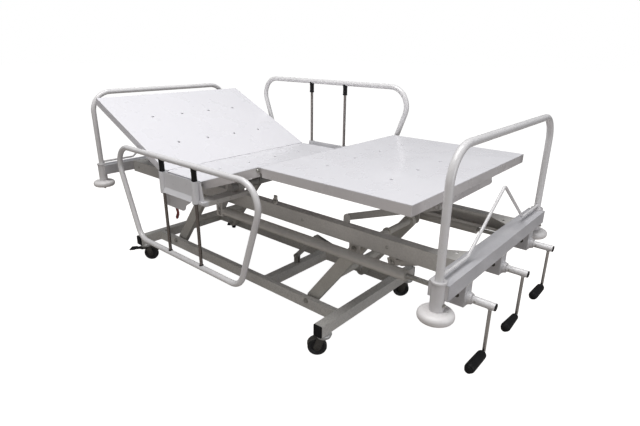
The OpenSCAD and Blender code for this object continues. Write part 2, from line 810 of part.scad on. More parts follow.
// Hangers of the upper leg pivots, shaft bearings, link lugs and corner gussets
module frame_brackets() {
  color("silver") both() {
    for (x = [leg_foot_x + leg_l * sin(lean), leg_head_x + leg_l * sin(lean)]) {
      box(x - hanger_x, x + hanger_x, lug_y, lug_y + plate_t, upper_z, rail_bottom);
      ycyl(x, upper_z, hanger_x, lug_y, lug_y + plate_t);
    }
    difference() {
      union() {
        box(shaft_x - bear_w, shaft_x + bear_w, lug_y + plate_t, rail_out - plate_t, frame_top, shaft_z);
        ycyl(shaft_x, shaft_z, bear_w, lug_y + plate_t, rail_out - plate_t);
      }
      ycyl(shaft_x, shaft_z, shaft_r + fit, 0, deck_w);
    }
    box(link_x - foot_w / 2, link_x + foot_w / 2, lug_y - plate_t, lug_y, frame_top - lip_h, link_z);
    ycyl(link_x, link_z, foot_w / 2, lug_y - plate_t, lug_y);
    bar_plate(knob_x, frame_top + foot_w / 2, knob_x, frame_top + foot_w / 2 + over, foot_w, rail_out - plate_t, rail_out);
    for (e = [1, -1]) translate([e > 0 ? house_x0 : head_x + cross_w / 2, rail_out - rail_w, frame_top - rail_t])
      mirror([e > 0 ? 1 : 0, 0, 0]) linear_extrude(rail_t) difference() {
        polygon([[0, 0], [gusset, 0], [0, -gusset * gusset_share]]);
        translate([gusset / 4, -gusset / 5]) circle(pin_r);
      }
  }
}
lip_h = rail_h / 5;
// Pins of the upper leg pivots and of the support links
module frame_pins() {
  color("gainsboro") both() {
    for (x = [leg_foot_x + leg_l * sin(lean), leg_head_x + leg_l * sin(lean)]) {
      ycyl(x, upper_z, leg_bush_r, leg_out + gap, lug_y);
      ycyl(x, upper_z, pin_r, leg_in + gap, lug_y);
    }
    ycyl(link_x, link_z, pin_r, foot_y, lug_y - plate_t);
    ycyl(link_x, link_z, head_r, foot_y - head_t, foot_y);
  }
}
bearer_w = 30;
bearer_h = 20;
bearer_z = hinge_z + hinge_drop - sheet_t - stiff_h - bearer_h;
bearer_shares = [0.16, 0.72];
upright_t = 5;
module seat_bearers() {
  color("silver") for (s = bearer_shares) translate([back_x + seat_len * s, 0, 0]) {
    tube_y(-bearer_w / 2, bearer_w / 2, -rail_out, rail_out, bearer_z, bearer_z + bearer_h, sheet_t);
    both() {
      box(-bearer_w / 2, bearer_w / 2, lug_y, lug_y + upright_t, frame_top, bearer_z);
      box(-bearer_w / 2, bearer_w / 2, rail_out - upright_t, rail_out, frame_top, bearer_z);
    }
  }
}
house_w = 50;
cone_len = 15;
module crank_housings() {
  color("gainsboro") for (y = [-crank_y, 0, crank_y]) translate([0, y, 0]) difference() {
    union() {
      box(house_x0, house_x1, -house_w / 2, house_w / 2, crank_z - house_w / 2, frame_top - cross_h);
      translate([house_x1, 0, crank_z]) rotate([0, 90, 0]) cylinder(h = cone_len, r1 = house_w / 2.2, r2 = house_w / 3);
    }
    xcyl(house_x0 - over, house_x1 + cone_len + over, 0, crank_z, shank_r + fit);
  }
}
arm_h = 20;
arm_back = 4;
arm_in = side_y - guide_r - arm_back;
cover_in = arm_in - plate_t;
arm2_clear = 34;
arm2_step = 20;
arm2_x0 = shaft_x + bear_w + arm2_clear;
arm2_x1 = arm2_x0 + arm2_step;
cover_head = 45;
cover_foot = 160;
cover_cut = 78;
cover_side = 12;
cover_low = 42;
latch_in = 38;
latch_x = rail_x - stem_gap / 2 + latch_in;
latch_rise = 12;
latch_z = rail_bottom + latch_rise;
module rail_brackets() {
  xa = rail_x - stem_gap / 2;
  xb = rail_x + stem_gap / 2;
  arm2_y = crank_y + arm2_step;
  color("gainsboro") both() {
    difference() {
      union() {
        for (x = [xa, xb]) translate([x, side_y, guide_z]) cylinder(h = guide_h, r = guide_r);
        box(xa - guide_r, xa + guide_r, rail_out, side_y, frame_top, frame_top + arm_h);
        box(arm2_x0, arm2_x1, lug_y + plate_t, arm2_y, frame_top, frame_top + arm_h);
        box(xb - guide_r, arm2_x1, arm2_y, side_y, frame_top, frame_top + arm_h);
        box(xa, xb, side_y - upright_t / 2, side_y + upright_t / 2, guide_z + arm_h, guide_z + guide_h - gap);
      }
      for (x = [xa, xb]) translate([x, side_y, rail_bottom]) cylinder(h = deck_z, r = stem_d / 2 + fit);
      box(xa - guide_w, xb + guide_w, arm_in + arm_t, deck_w, 0, guide_z);
    }
    translate([0, cover_in + upright_t, 0]) rotate([90, 0, 0]) linear_extrude(upright_t)
      polygon([[xa - cover_head, frame_top + arm_h], [xa + cover_foot, frame_top + arm_h],
               [xa + cover_foot, frame_top - cover_side], [xa + cover_cut, rail_bottom],
               [xa - cover_low, rail_bottom], [xa - cover_head, frame_top - cover_side]]);
    ycyl(latch_x, latch_z, pin_r, cover_in - 2 * gap - 2 * plate_t, cover_in);
  }
}
guide_w = 200;
// Bends of the latch handle below its pin, and the widths of its eye and its bar
latch_bend = [-2, -26];
latch_tip = [8, -58];
latch_eye = 11;
latch_bar = 14;
module latch() {
  at = [latch_x, latch_z];
  difference() {
    bar_path([at, at + latch_bend, at + latch_tip], [latch_eye, latch_bar / 2, latch_bar / 2], latch_bar,
             cover_in - gap - plate_t, cover_in - gap);
    ycyl(latch_x, latch_z, pin_r + fit, 0, deck_w);
  }
}
module rail_latch_near() {
  color("firebrick") mirror([0, 1, 0]) latch();
}
module rail_latch_far() {
  color("firebrick") latch();
}

// Side rails, drawn in the XZ plane with the lower tube on the X axis
module rod_xz(x0, z0, x1, z1, r) {
  len = sqrt(pow(x1 - x0, 2) + pow(z1 - z0, 2));
  translate([x0, 0, z0]) rotate([0, 90 - atan2(z1 - z0, x1 - x0), 0]) cylinder(h = len, r = r);
}
module arc_xz(cx, cz, a0, sweep, big, r) {
  translate([cx, 0, cz]) rotate([90, 0, 0]) rotate([0, 0, a0]) rotate_extrude(angle = sweep)
    translate([big, 0]) circle(r);
}
slant = atan2((loop_top - loop_bottom) / 2, loop_h);
top_turn = 90 + slant;
low_turn = 90 - slant;
top_cut = loop_r_top * tan(top_turn / 2);
low_cut = loop_r_bottom * tan(low_turn / 2);
ring_out = 0.25;
ring_half = 1.5;
// One butt weld of the tube, with the tube's direction turned from upright towards +X
module butt(x, z, turn) {
  translate([x, 0, z]) rotate([0, turn, 0]) translate([0, 0, -ring_half])
    cylinder(h = 2 * ring_half, r = tube_d / 2 + ring_out);
}
module half_loop() {
  r = tube_d / 2;
  arc_xz(loop_top / 2 - top_cut, loop_h - loop_r_top, 90 - top_turn, top_turn, loop_r_top, r);
  arc_xz(loop_bottom / 2 - low_cut, loop_r_bottom, -90, low_turn, loop_r_bottom, r);
  rod_xz(loop_top / 2 - top_cut * sin(slant), loop_h - top_cut * cos(slant),
         loop_bottom / 2 + low_cut * sin(slant), low_cut * cos(slant), r);
  butt(loop_top / 2 - top_cut * sin(slant), loop_h - top_cut * cos(slant), slant);
  butt(loop_bottom / 2 + low_cut * sin(slant), low_cut * cos(slant), slant);
  butt(loop_top / 2 - top_cut, loop_h, 90);
  butt(loop_bottom / 2 - low_cut, 0, 90);
}
module side_loop(y, z) {
  translate([rail_x, y, z]) {
    xcyl(top_cut - loop_top / 2, loop_top / 2 - top_cut, 0, loop_h, tube_d / 2);
    xcyl(low_cut - loop_bottom / 2, loop_bottom / 2 - low_cut, 0, 0, tube_d / 2);
    half_loop();
    mirror([1, 0, 0]) half_loop();
  }
}
module stems(y, z) {
  translate([rail_x, y, z]) for (x = [-stem_gap / 2, stem_gap / 2]) difference() {
    translate([x, 0, 0]) cylinder(h = loop_h, r = stem_d / 2);
    xcyl(-stem_gap, stem_gap, 0, 0, tube_d / 2);
    xcyl(-stem_gap, stem_gap, 0, loop_h, tube_d / 2);
  }
}
module side_rail_near() {
  color("white") side_loop(-side_y, low_z);
}
module side_rail_far() {
  color("white") side_loop(side_y, low_z + rail_travel);
}
module rail_stems_near() {
  color("silver") stems(-side_y, low_z);
}
module rail_stems_far() {
  color("silver") stems(side_y, low_z + rail_travel);
}

// End bows
module rod_yz(y0, z0, y1, z1, r) {
  len = sqrt(pow(y1 - y0, 2) + pow(z1 - z0, 2));
  translate([0, y0, z0]) rotate([atan2(z1 - z0, y1 - y0) - 90, 0, 0]) cylinder(h = len, r = r);
}
bow_foot = socket_low - floor_t - gap;
rod_rise = 12;
peak_y = 245;
peak_rise = 192;
rod_z = frame_top + rod_rise + rod_d / 2;
peak_z = frame_top + peak_rise;
ball_out = 0.5;
module arc_yz(cy, cz, a0, sweep, big, r) {
  translate([0, cy, cz]) rotate([90, 0, 90]) rotate([0, 0, a0]) rotate_extrude(angle = sweep)
    translate([big, 0]) circle(r);
}
module bow(x, rise) {
  r = tube_d / 2;
  z1 = frame_top + rise;
  translate([x, 0, 0]) {
    both() {
      translate([0, post_y, frame_top - bow_foot]) cylinder(h = z1 - bow_r - frame_top + bow_foot, r = r);
      arc_yz(post_y - bow_r, z1 - bow_r, 0, 90, bow_r, r);
      ycyl(0, rod_z, rod_d / 2, peak_y, post_y);
      translate([0, peak_y, rod_z]) sphere(rod_d / 2 + ball_out);
      rod_yz(peak_y, rod_z, 0, peak_z, rod_d / 2);
    }
    translate([0, 0, peak_z]) sphere(rod_d / 2 + ball_out);
    ycyl(0, z1, r, -post_y + bow_r, post_y - bow_r);
  }
}
module head_bow() {
  color("white") bow(head_x, bow_rise);
}
module foot_bow() {
  color("white") bow(foot_x, bow_rise);
}
dome = 6;
module bumper(x, y) {
  color("ivory") translate([x, y, socket_z - gap - bumper_t + gap]) difference() {
    union() {
      translate([0, 0, dome]) cylinder(h = bumper_t - 2 * dome, r = bumper_d / 2);
      cylinder(h = dome, r1 = bumper_d / 2 - dome, r2 = bumper_d / 2);
      translate([0, 0, bumper_t - dome]) cylinder(h = dome - gap, r1 = bumper_d / 2, r2 = bumper_d / 2 - dome);
    }
    translate([0, 0, -over]) cylinder(h = 2 * bumper_t, r = stub_r + fit);
  }
}
module bumper_nh() {
  bumper(head_x, -post_y);
}
module bumper_fh() {
  bumper(head_x, post_y);
}
module bumper_nf() {
  bumper(foot_x, -post_y);
}
module bumper_ff() {
  bumper(foot_x, post_y);
}

// Back lift shaft with its lever, its two bent arms and their rollers
module back_rocker() {
  turn = back_angle;
  rx = back_x - roller_s * cos(turn) - roller_n * sin(turn);
  rz = hinge_z + roller_s * sin(turn) - roller_n * cos(turn);
  lx = shaft_x - arm_low_x;
  lz = shaft_z - arm_low_z;
  y0 = stiff_y - stiff_w / 2 - over - arm_t;
  color("silver") {
    ycyl(shaft_x, shaft_z, shaft_r, -crank_y - lever_t / 2, rail_out);
    bar_path([[shaft_x, shaft_z], [back_pin_x, crank_z]], [shaft_r + plate_t, arm_w / 2], arm_w,
             -crank_y - lever_t / 2, -crank_y + lever_t / 2);
    ycyl(back_pin_x, crank_z, pin_r, -crank_y - yoke_in - yoke_t - over, -crank_y + yoke_in + yoke_t + over);
    both() {
      bar_path([[shaft_x, shaft_z], [lx, lz], [rx, rz]], [shaft_r + plate_t, arm_w / 2, arm_w / 2], arm_w, y0, y0 + arm_t);
      ycyl(rx, rz, pin_r, y0, stiff_y + roller_w / 2 - over);
      ycyl(rx, rz, roller_r, stiff_y - roller_w / 2 + over, stiff_y + roller_w / 2 + over);
    }
  }
}

// Cranks: hub with its shank and screw, hanging arm and grip
hub_x = house_x1 + cone_len + gap;
hub_end = foot_x + crank_out;
arm_set = 18;
stop_out = 2;
arm_x = hub_end - arm_set;
arm_r = arm_d / 2;
module crank_hub(y, screw) {
  translate([0, y, 0]) {
    difference() {
      xcyl(hub_x, hub_end, 0, crank_z, tube_d / 2);
      translate([arm_x, 0, crank_z - arm_len]) cylinder(h = arm_len, r = arm_r);
    }
    xcyl(house_x0 - gap, hub_x, 0, crank_z, shank_r);
    if (screw) xcyl(house_x0 - screw_len, house_x0 - gap, 0, crank_z, screw_r);
  }
}
module crank_arm(y) {
  translate([arm_x, y, 0]) {
    translate([0, 0, crank_z - arm_len]) cylinder(h = arm_len, r = arm_r);
    translate([0, 0, crank_z - arm_len]) sphere(arm_r);
    ycyl(0, crank_z - arm_len, arm_r, -grip_len - 2 * arm_r, 0);
    ycyl(0, crank_z - arm_len, arm_r + stop_out, -grip_len - 2 * arm_r - head_t, -grip_len - 2 * arm_r);
  }
}
module crank_grip(y) {
  translate([arm_x, y, 0]) difference() {
    ycyl(0, crank_z - arm_len, grip_d / 2, -grip_len - 2 * arm_r + gap, -2 * arm_r + gap);
    ycyl(0, crank_z - arm_len, arm_r + fit, -deck_w, deck_w);
  }
}
module crank_hub_back() {
  color("white") crank_hub(-crank_y, true);
}
module crank_hub_lift() {
  color("white") crank_hub(0, false);
}
module crank_hub_knee() {
  color("white") crank_hub(crank_y, true);
}
module crank_arm_back() {
  color("silver") crank_arm(-crank_y);
}
module crank_arm_lift() {
  color("silver") crank_arm(0);
}
module crank_arm_knee() {
  color("silver") crank_arm(crank_y);
}
module crank_grip_back() {
  color("black") crank_grip(-crank_y);
}
module crank_grip_lift() {
  color("black") crank_grip(0);
}
module crank_grip_knee() {
  color("black") crank_grip(crank_y);
}

base_cross_tubes();
base_rails();
base_end_caps();
base_pivot_bolts();
caster_plates();
caster_fork_nh();
caster_fork_fh();
caster_fork_nf();
caster_fork_ff();
caster_wheel_nh();
caster_wheel_fh();
caster_wheel_nf();
caster_wheel_ff();
brake_pedal_near();
brake_pedal_far();
legs_head();
legs_foot();
lift_link();
lift_rocker();
lift_push_tube();
lift_screw();
frame_rails();
frame_cross_members();
post_sockets();
frame_brackets();
frame_pins();
seat_panel();
deck_hinge_rods();
seat_bearers();
crank_housings();
rail_brackets();
side_rail_near();
side_rail_far();
rail_stems_near();
rail_stems_far();
rail_latch_near();
rail_latch_far();
head_bow();
foot_bow();
bumper_nh();
bumper_fh();
bumper_nf();
bumper_ff();
back_panel();
back_rocker();
back_push_tube();
thigh_panel();
knee_hinge_rod();
knee_push_tube();
leg_panel();
leg_links();
crank_hub_back();
crank_hub_lift();
crank_hub_knee();
crank_arm_back();
crank_arm_lift();
crank_arm_knee();
crank_grip_back();
crank_grip_lift();
crank_grip_knee();
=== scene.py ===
"""Finishes, detailed fittings, lights and camera for the cranked fowler bed."""

import json
import logging
import math
from dataclasses import dataclass, field, replace
from enum import Enum
from typing import Callable, Iterable, Sequence

import bmesh
import bpy
from mathutils import Matrix, Vector


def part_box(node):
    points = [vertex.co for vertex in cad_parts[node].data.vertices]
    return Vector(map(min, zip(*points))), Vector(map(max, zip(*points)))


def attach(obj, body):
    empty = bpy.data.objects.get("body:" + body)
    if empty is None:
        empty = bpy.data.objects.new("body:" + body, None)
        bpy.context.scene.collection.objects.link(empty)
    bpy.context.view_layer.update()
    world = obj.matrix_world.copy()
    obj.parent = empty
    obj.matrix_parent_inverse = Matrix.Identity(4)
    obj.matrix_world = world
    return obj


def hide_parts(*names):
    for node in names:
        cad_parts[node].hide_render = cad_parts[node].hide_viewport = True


log = logging.getLogger("fowler_bed")
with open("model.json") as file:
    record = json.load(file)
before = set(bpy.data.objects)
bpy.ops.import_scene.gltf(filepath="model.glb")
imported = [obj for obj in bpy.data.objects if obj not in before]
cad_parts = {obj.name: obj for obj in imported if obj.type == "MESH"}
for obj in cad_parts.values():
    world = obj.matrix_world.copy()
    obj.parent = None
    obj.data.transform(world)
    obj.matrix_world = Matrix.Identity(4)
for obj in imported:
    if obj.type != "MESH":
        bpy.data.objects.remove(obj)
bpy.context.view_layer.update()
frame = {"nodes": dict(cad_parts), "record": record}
Pair = tuple[float, float]
Point = tuple[float, float, float]
Head = tuple[float, float, float]  # radius, height of the dome, height of the straight part below it
Nut = tuple[float, float, float, float]  # width across the flats, height, radius of the bolt, its proud end
Profile = Sequence[Pair]
Mesh = bmesh.types.BMesh
Node = bpy.types.Node
Socket = bpy.types.NodeSocket


class Slot(Enum):
    """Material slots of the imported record."""

    DECK = "deck_white"
    BOW = "bow_white"
    FRAME = "frame_silver"
    BASE = "base_grey"
    LEG = "leg_silver"
    LINK = "link_grey"
    SOCKET = "socket_white"
    BRACKET = "bracket_white"
    DRIVE = "drive_grey"
    ZINC = "zinc_pin"
    CHROME = "bright_chrome"
    BLACK = "black_plastic"
    FORK = "caster_fork"
    WHEEL = "wheel_black"
    PLATE = "caster_plate"
    DISC = "disc_white"
    LATCH = "latch_red"


class Axis(Enum):
    """Directions in which a turned piece can lie."""

    X = "X"
    Y = "Y"
    Z = "Z"
    BACK_X = "-X"
    BACK_Y = "-Y"
    BACK_Z = "-Z"

    def matrix(self) -> Matrix:
        """Turn that takes +Z to this axis.

        Returns:
            The turn.
        """
        turns = {"X": ("Y", 90), "-X": ("Y", -90), "Y": ("X", -90), "-Y": ("X", 90), "Z": ("X", 0), "-Z": ("X", 180)}
        about, degrees = turns[self.value]
        return Matrix.Rotation(math.radians(degrees), 4, about)

    @staticmethod
    def outward(sign: float) -> "Axis":
        """Direction away from the middle of the bed.

        Args:
            sign: -1 on the near side and 1 on the far side.

        Returns:
            The axis.
        """
        return Axis.Y if sign > 0 else Axis.BACK_Y


@dataclass(frozen=True)
class Sizes:
    """Sizes shared by the fittings, in metres."""

    foot_x: float = 0.9825
    head_x: float = -1.0495
    frame_top: float = 0.553343
    rail_bottom: float = 0.493343
    rail_out: float = 0.260
    rail_w: float = 0.040
    cross_w: float = 0.064
    cross_h: float = 0.050
    post_y: float = 0.429
    socket_r: float = 0.021
    bow_rise: float = 0.385
    bow_bend: float = 0.100
    bow_foot: float = 0.0797
    rod_rise: float = 0.017
    peak_y: float = 0.245
    peak_rise: float = 0.192
    crank_y: float = 0.285
    crank_z: float = 0.457343
    hub_x: float = 1.0298
    hub_end: float = 1.1045
    arm_x: float = 1.0865
    arm_len: float = 0.165
    arm_r: float = 0.0055
    grip_len: float = 0.100
    screw_len: float = 0.300
    rail_x: float = -0.2035
    side_y: float = 0.490
    stem_gap: float = 0.238
    stem_r: float = 0.007
    guide_z: float = 0.562343
    guide_h: float = 0.095
    guide_r: float = 0.016
    low_z: float = 0.269043
    travel: float = 0.275
    loop_h: float = 0.450
    loop_top: float = 1.082
    loop_bottom: float = 0.754
    tube_r: float = 0.0125
    cover_y: float = 0.464
    foot_tube_x: float = 0.4685
    head_tube_x: float = -0.8805
    clevis_x: float = 0.0205
    base_low: float = 0.102
    base_top: float = 0.152
    base_w: float = 0.040
    base_half: float = 0.352
    base_rail_y: float = 0.217
    side_w: float = 0.025
    caster_y: float = 0.318
    leg_foot_x: float = 0.2915
    leg_head_x: float = -0.7015
    leg_in: float = 0.167
    lower_z: float = 0.140
    upper_z: float = 0.457343
    leg_run: float = 0.243505
    back_x: float = -0.3595
    thigh_x: float = -0.0975
    hinge_z: float = 0.632343
    hinge_drop: float = 0.012
    knee_x: float = 0.260852
    knee_z: float = 0.755733
    deck_half: float = 0.450
    pan_h: float = 0.035
    back_tilt: float = math.radians(25.0)
    thigh_tilt: float = math.radians(19.0)

    @property
    def stems(self) -> Pair:
        """Places of the two stems along the bed."""
        return self.rail_x - self.stem_gap / 2, self.rail_x + self.stem_gap / 2


SIZES = Sizes()
SIDES = (("near", -1.0), ("far", 1.0))
SIGNS = (-1.0, 1.0)
SKIN = 0.0001  # how far a dressed piece stays inside the CAD solid below it


# Finishes


@dataclass(frozen=True)
class Graph:
    """Short ways to add nodes to one tree."""

    tree: bpy.types.NodeTree
    noise_rough: float = 0.55
    ramp_ends: Pair = (0.32, 0.68)

    def add(self, kind: str) -> Node:
        """Add a node of a kind."""
        return self.tree.nodes.new(kind)

    def link(self, source: Socket, target: Socket) -> None:
        """Link two sockets."""
        self.tree.links.new(source, target)

    def feed(self, value: Socket | tuple[float, ...] | float, target: Socket) -> None:
        """Link a value to a socket, or set a plain one.

        Args:
            value: The value, linked or plain.
            target: The socket.
        """
        if isinstance(value, (tuple, float)):
            target.default_value = value
        else:
            self.link(value, target)

    def maths(self, operation: str, first: Socket, second: Socket | float = 0.0) -> Socket:
        """Add a sum of one or two values.

        Args:
            operation: What it works out.
            first: The first value.
            second: The second value, linked or plain.

        Returns:
            The result.
        """
        node = self.add("ShaderNodeMath")
        node.operation = operation
        self.link(first, node.inputs[0])
        self.feed(second, node.inputs[1])
        return node.outputs["Value"]

    def dot(self, first: Socket, second: Socket | Point) -> Socket:
        """Add the dot product of two vectors.

        Args:
            first: The first vector.
            second: The second vector, linked or plain.

        Returns:
            The product.
        """
        node = self.add("ShaderNodeVectorMath")
        node.operation = "DOT_PRODUCT"
        self.link(first, node.inputs[0])
        self.feed(second, node.inputs[1])
        return node.outputs["Value"]

    def noise(self, lay: Socket, scale: float, detail: float) -> Socket:
        """Add a noise.

        Args:
            lay: Coordinates that it lies on.
            scale: Noise scale per metre.
            detail: Noise detail.

        Returns:
            Its value.
        """
        noise = self.add("ShaderNodeTexNoise")
        noise.inputs["Scale"].default_value = scale
        noise.inputs["Detail"].default_value = detail
        noise.inputs["Roughness"].default_value = self.noise_rough
        self.link(lay, noise.inputs["Vector"])
        return noise.outputs["Fac"]

    def ramp(self, fac: Socket, shade: Point, tint: Point) -> Socket:
        """Add a two-colour ramp.

        Args:
            fac: What drives the ramp.
            shade: Its low colour.
            tint: Its high colour.

        Returns:
            The colour.
        """
        ramp = self.add("ShaderNodeValToRGB")
        for stop, place, colour in zip(ramp.color_ramp.elements, self.ramp_ends, (shade, tint)):
            stop.position = place
            stop.color = (*colour, 1.0)
        self.link(fac, ramp.inputs["Fac"])
        return ramp.outputs["Color"]

    def spread(self, value: Socket, source: Pair, target: Pair) -> Socket:
        """Add a clamped map from one range to another.

        Args:
            value: What is mapped.
            source: Range it comes from.
            target: Range it goes to.

        Returns:
            The mapped value.
        """
        spread = self.add("ShaderNodeMapRange")
        spread.inputs["From Min"].default_value = source[0]
        spread.inputs["From Max"].default_value = source[1]
        spread.inputs["To Min"].default_value = target[0]
        spread.inputs["To Max"].default_value = target[1]
        self.link(value, spread.inputs["Value"])
        return spread.outputs["Result"]

    def mixed(self, fac: Socket, first: Socket, second: Socket | tuple[float, ...]) -> Socket:
        """Mix two colours.

        Args:
            fac: Share of the second colour.
            first: The first colour.
            second: The second colour, linked, or plain with its alpha.

        Returns:
            The mixed colour.
        """
        mix = self.add("ShaderNodeMixRGB")
        self.link(fac, mix.inputs["Fac"])
        self.link(first, mix.inputs["Color1"])
        self.feed(second, mix.inputs["Color2"])
        return mix.outputs["Color"]


@dataclass(frozen=True)
class Zone:
    """Part of a node that carries another colour, found from object coordinates.

    The zone is where the distance along the normal is under the limit.
    """

    normal: Point
    limit: float
    tint: Point
    shade: Point
    metallic: float = 0.0
    both_sides: bool = False


@dataclass(frozen=True)
class Wear:
    """Rubbed or chipped paint along the edges, in patches.

    An edge is where the rounded normal leaves the true one, and a patch where the noise is high.
    """

    tint: Point = (0.30, 0.29, 0.28)
    amount: float = 0.35
    scale: float = 55.0
    detail: float = 5.0
    rim: Pair = (0.80, 0.985)
    patch: Pair = (0.48, 0.6)


@dataclass(frozen=True)
class Finish:
    """One surface finish with a mottled colour, an uneven gloss and a fine relief.

    The colour wanders between shade and tint on a coarse noise, the roughness on a second one,
    and a third gives the relief of paint, mould or plating. A hammered paint adds small cells,
    and worn edges come from the difference between the rounded and the true normal.
    """

    name: str
    tint: Point
    shade: Point
    rough: Pair = (0.3, 0.4)
    metallic: float = 0.0
    mottle: float = 9.0
    grain: float = 700.0
    relief: float = 0.05
    depth: float = 0.0002
    coat: float = 0.0
    coat_rough: float = 0.12
    stretch: Point = (1.0, 1.0, 1.0)
    specular: float = 0.5
    edge: float = 0.0016
    edge_samples: int = 4
    hammer: float = 0.0
    hammer_scale: float = 165.0
    hammer_reach: Pair = (0.15, 0.7)
    hammer_dark: float = 0.6
    wipe: float = 3.7
    wipe_reach: Pair = (0.3, 0.7)
    details: Point = (4.0, 6.0, 3.0)
    wear: Wear | None = None
    zone: Zone | None = None

    def build(self) -> bpy.types.Material:
        """Make the node material.

        Returns:
            The finished material.
        """
        mat = bpy.data.materials.new(self.name)
        mat.use_nodes = True
        mat.node_tree.nodes.clear()
        graph = Graph(mat.node_tree)
        out = graph.add("ShaderNodeOutputMaterial")
        shader = graph.add("ShaderNodeBsdfPrincipled")
        shader.inputs["Metallic"].default_value = self.metallic
        shader.inputs["Coat Weight"].default_value = self.coat
        shader.inputs["Coat Roughness"].default_value = self.coat_rough
        shader.inputs["Specular IOR Level"].default_value = self.specular
        graph.link(shader.outputs["BSDF"], out.inputs["Surface"])
        where = graph.add("ShaderNodeTexCoord").outputs["Object"]
        mapping = graph.add("ShaderNodeMapping")
        mapping.inputs["Scale"].default_value = self.stretch
        graph.link(where, mapping.inputs["Vector"])
        lay = mapping.outputs["Vector"]
        cloud_detail, wipe_detail, skin_detail = self.details
        clouds = graph.noise(lay, self.mottle, cloud_detail)
        colour = graph.ramp(clouds, self.shade, self.tint)
        if self.hammer > 0.0:
            colour = self._hammered(graph, lay, colour)
        if self.zone is not None:
            colour = self._zoned(graph, self.zone, where, clouds, colour, shader)
        soft = graph.add("ShaderNodeBevel")
        soft.samples = self.edge_samples
        soft.inputs["Radius"].default_value = self.edge
        if self.wear is not None:
            colour = self._worn(graph, self.wear, lay, soft, colour)
        graph.link(colour, shader.inputs["Base Color"])
        wipes = graph.noise(lay, self.mottle * self.wipe, wipe_detail)
        graph.link(graph.spread(wipes, self.wipe_reach, self.rough), shader.inputs["Roughness"])
        bump = graph.add("ShaderNodeBump")
        bump.inputs["Strength"].default_value = self.relief
        bump.inputs["Distance"].default_value = self.depth
        graph.link(graph.noise(lay, self.grain, skin_detail), bump.inputs["Height"])
        graph.link(soft.outputs["Normal"], bump.inputs["Normal"])
        graph.link(bump.outputs["Normal"], shader.inputs["Normal"])
        return mat

    def _hammered(self, graph: Graph, lay: Socket, colour: Socket) -> Socket:
        """Lay the small light and dark cells of a hammered paint over a colour.

        Args:
            graph: The material's tree.
            lay: Coordinates that the cells lie on.
            colour: The colour below.

        Returns:
            The colour with the cells.
        """
        cells = graph.add("ShaderNodeTexVoronoi")
        cells.feature = "SMOOTH_F1"
        cells.inputs["Scale"].default_value = self.hammer_scale
        graph.link(lay, cells.inputs["Vector"])
        mask = graph.spread(cells.outputs["Distance"], self.hammer_reach, (0.0, self.hammer))
        return graph.mixed(mask, colour, (*(c * self.hammer_dark for c in self.shade), 1.0))

    def _zoned(
        self, graph: Graph, zone: Zone, where: Socket, clouds: Socket, colour: Socket, shader: Node,
    ) -> Socket:
        """Put the zone's colour where the zone lies.

        Args:
            graph: The material's tree.
            zone: The zone.
            where: Object coordinates.
            clouds: Noise that mottles the colours.
            colour: The colour outside the zone.
            shader: The surface shader, whose metallic share follows the zone.

        Returns:
            The joined colour.
        """
        reach = graph.dot(where, zone.normal)
        if zone.both_sides:
            reach = graph.maths("ABSOLUTE", reach)
        mask = graph.maths("LESS_THAN", reach, zone.limit)
        other = graph.ramp(clouds, zone.shade, zone.tint)
        graph.link(graph.spread(mask, (0.0, 1.0), (self.metallic, zone.metallic)), shader.inputs["Metallic"])
        return graph.mixed(mask, colour, other)

    @staticmethod
    def _worn(graph: Graph, wear: Wear, lay: Socket, soft: Node, colour: Socket) -> Socket:
        """Wear the colour along the edges, in patches.

        Args:
            graph: The material's tree.
            wear: The wear.
            lay: Coordinates that the patches lie on.
            soft: Bevel node whose normal turns near an edge.
            colour: The unworn colour.

        Returns:
            The worn colour.
        """
        true = graph.add("ShaderNodeNewGeometry").outputs["Normal"]
        rim = graph.spread(graph.dot(true, soft.outputs["Normal"]), wear.rim, (1.0, 0.0))
        patch = graph.spread(graph.noise(lay, wear.scale, wear.detail), wear.patch, (0.0, wear.amount))
        return graph.mixed(graph.maths("MULTIPLY", rim, patch), colour, (*wear.tint, 1.0))


BARE = (0.36, 0.35, 0.34)
SILVER_TINT = (0.73, 0.71, 0.68)
SILVER_SHADE = (0.63, 0.615, 0.59)
# Painted shade: a darker colour laid on the side faces of the leg and thigh pans, below their top sheet, for the
# shade that falls there.
PAINTED_SHADE_RIM_TINT = (0.66, 0.63, 0.63)
PAINTED_SHADE_RIM_DARKER = (0.61, 0.585, 0.585)


